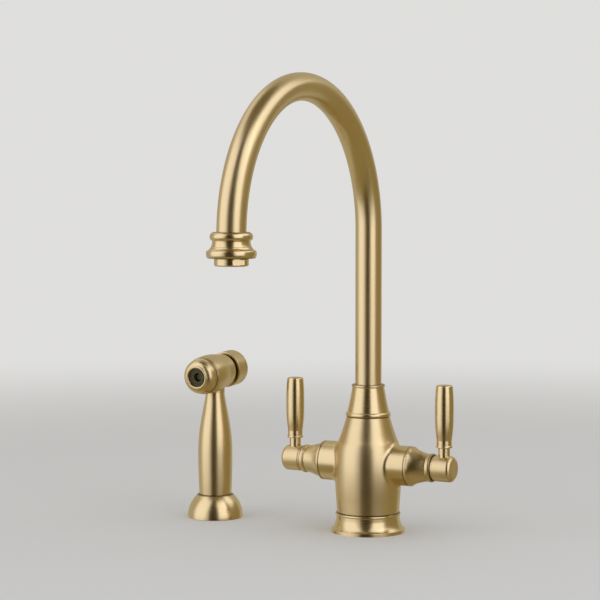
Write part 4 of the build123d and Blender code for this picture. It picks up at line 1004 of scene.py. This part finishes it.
def floor_material(studio):
    """Pale floor that keeps the shadow near the tap and turns into the plain background far off."""
    material, nodes = new_material("pale_floor")
    here = nodes.node("ShaderNodeTexCoord").out("Object")
    away = nodes.node("ShaderNodeVectorMath", {"operation": "LENGTH"}, {0: here}).out("Value")
    grain = nodes.noise(here, 900.0, 2.0)
    far = nodes.node("ShaderNodeMapRange", {"interpolation_type": "SMOOTHSTEP"}, {
        "Value": away, "From Min": FLOOR_FADE[0], "From Max": FLOOR_FADE[1],
    })
    matt = nodes.node("ShaderNodeBsdfPrincipled", inputs={
        "Base Color": nodes.mix(grain, rgba(studio.backdrop, 0.97), rgba(studio.backdrop, 1.0)),
        "Roughness": 0.85,
        "Specular IOR Level": 0.1,
    })
    plain = nodes.node("ShaderNodeEmission", inputs={"Color": rgba(studio.backdrop), "Strength": 1.0})
    factor = far * seen_rays(nodes)
    finish_material(nodes, nodes.node("ShaderNodeMixShader", inputs={0: factor, 1: matt, 2: plain}))
    return material


def add_floor(studio):
    mesh = bmesh.new()
    bmesh.ops.create_circle(mesh, cap_ends=True, segments=128, radius=FLOOR_RADIUS)
    data = bpy.data.meshes.new("floor")
    mesh.to_mesh(data)
    mesh.free()
    data.materials.append(floor_material(studio))
    floor = bpy.data.objects.new("floor", data)
    bpy.context.scene.collection.objects.link(floor)
    floor.visible_glossy = False
    floor.visible_shadow = False


def set_world(studio):
    world = bpy.data.worlds.new("studio")
    world.use_nodes = True
    nodes = Nodes(world.node_tree)
    tint = rgba(studio.backdrop)
    soft = nodes.node("ShaderNodeBackground", inputs={"Color": tint, "Strength": studio.ambient})
    plain = nodes.node("ShaderNodeBackground", inputs={"Color": tint, "Strength": 1.0})
    mixed = nodes.node("ShaderNodeMixShader", inputs={0: seen_rays(nodes), 1: soft, 2: plain})
    nodes.node("ShaderNodeOutputWorld", inputs={"Surface": mixed})
    bpy.context.scene.world = world


class TAP_OT_studio(bpy.types.Operator):
    """Sets the camera, the pale floor and the softboxes"""

    bl_idname = "tap.studio"
    bl_label = "Studio"

    def execute(self, context):
        studio = context.scene.tap_studio
        context.scene.view_settings.view_transform = "Standard"
        add_camera(studio)
        set_world(studio)
        add_floor(studio)
        for name, bearing, rise, wide, high, brightness in (
            ("left_softbox", -70, 20, 54, 76, studio.left_light),
            ("right_softbox", 38, 24, 44, 72, studio.right_light),
            ("high_softbox", 87, 44, 54, 28, studio.high_light),
        ):
            softbox(studio, name, bearing, rise, wide, high, brightness)
        for name, bearings, rises, shade in (
            ("left_softbox_card", (-105, -31), (-18, 64), studio.cool),
            ("right_softbox_card", (13, 60), (-12, 64), studio.cool),
            ("left_skirting_card", (-105, -31), (-32, -18), studio.dim),
            ("front_skirting_card", (-31, 13), (-32, -14), studio.dark),
            ("right_skirting_card", (13, 60), (-32, -12), studio.shadow),
            ("high_softbox_card", (60, 118), (24, 64), studio.cool),
            ("front_card", (-24, 6), (-14, 64), studio.dark),
            ("front_left_card", (-31, -24), (-14, 64), studio.shadow),
            ("front_right_card", (6, 13), (-14, 64), studio.shadow),
            ("zenith_card", (-180, 180), (64, 89), studio.shadow),
            ("right_card", (60, 130), (-32, 24), studio.dim),
            ("back_card", (130, 255), (-32, 34), studio.grey),
            ("back_high_card", (118, 200), (34, 64), studio.grey),
            ("table_card", (-90, 195), (-89, -32), studio.dim),
            ("table_left_card", (195, 270), (-89, -32), studio.grey),
        ):
            mirrored_card(studio, name, bearings, rises, shade)
        return {"FINISHED"}


# ---- panel and registration -----------------------------------------------------------------
PIECES = ("tap.gold", "tap.fittings", "tap.spout_tube", "tap.threads", "tap.springs", "tap.studio")


class TAP_PT_panel(bpy.types.Panel):
    """Lists the tap's sizes, colours and pieces"""

    bl_idname = "TAP_PT_panel"
    bl_label = "Side spray kitchen tap"
    bl_space_type = "VIEW_3D"
    bl_region_type = "UI"
    bl_category = "Tap"

    def draw(self, context):
        scene = context.scene
        groups = {"Finish": scene.tap_finish, "Sizes": scene.tap_sizes, "Studio": scene.tap_studio}
        for title, group in groups.items():
            box = self.layout.box()
            box.label(text=title)
            for name in group.bl_rna.properties.keys():
                if name not in ("rna_type", "name"):
                    box.prop(group, name)
        for piece in PIECES:
            self.layout.operator(piece)


CLASSES = (
    TapFinish, TapSizes, TapStudio,
    TAP_OT_gold, TAP_OT_fittings, TAP_OT_spout_tube, TAP_OT_threads, TAP_OT_springs, TAP_OT_studio,
    TAP_PT_panel,
)


def register():
    for cls in CLASSES:
        bpy.utils.register_class(cls)
    bpy.types.Scene.tap_finish = PointerProperty(type=TapFinish)
    bpy.types.Scene.tap_sizes = PointerProperty(type=TapSizes)
    bpy.types.Scene.tap_studio = PointerProperty(type=TapStudio)


def unregister():
    del bpy.types.Scene.tap_studio
    del bpy.types.Scene.tap_sizes
    del bpy.types.Scene.tap_finish
    for cls in reversed(CLASSES):
        bpy.utils.unregister_class(cls)


def main():
    register()
    for piece in PIECES:
        group, name = piece.split(".")
        getattr(getattr(bpy.ops, group), name)()


if __name__ == "__main__":
    main()
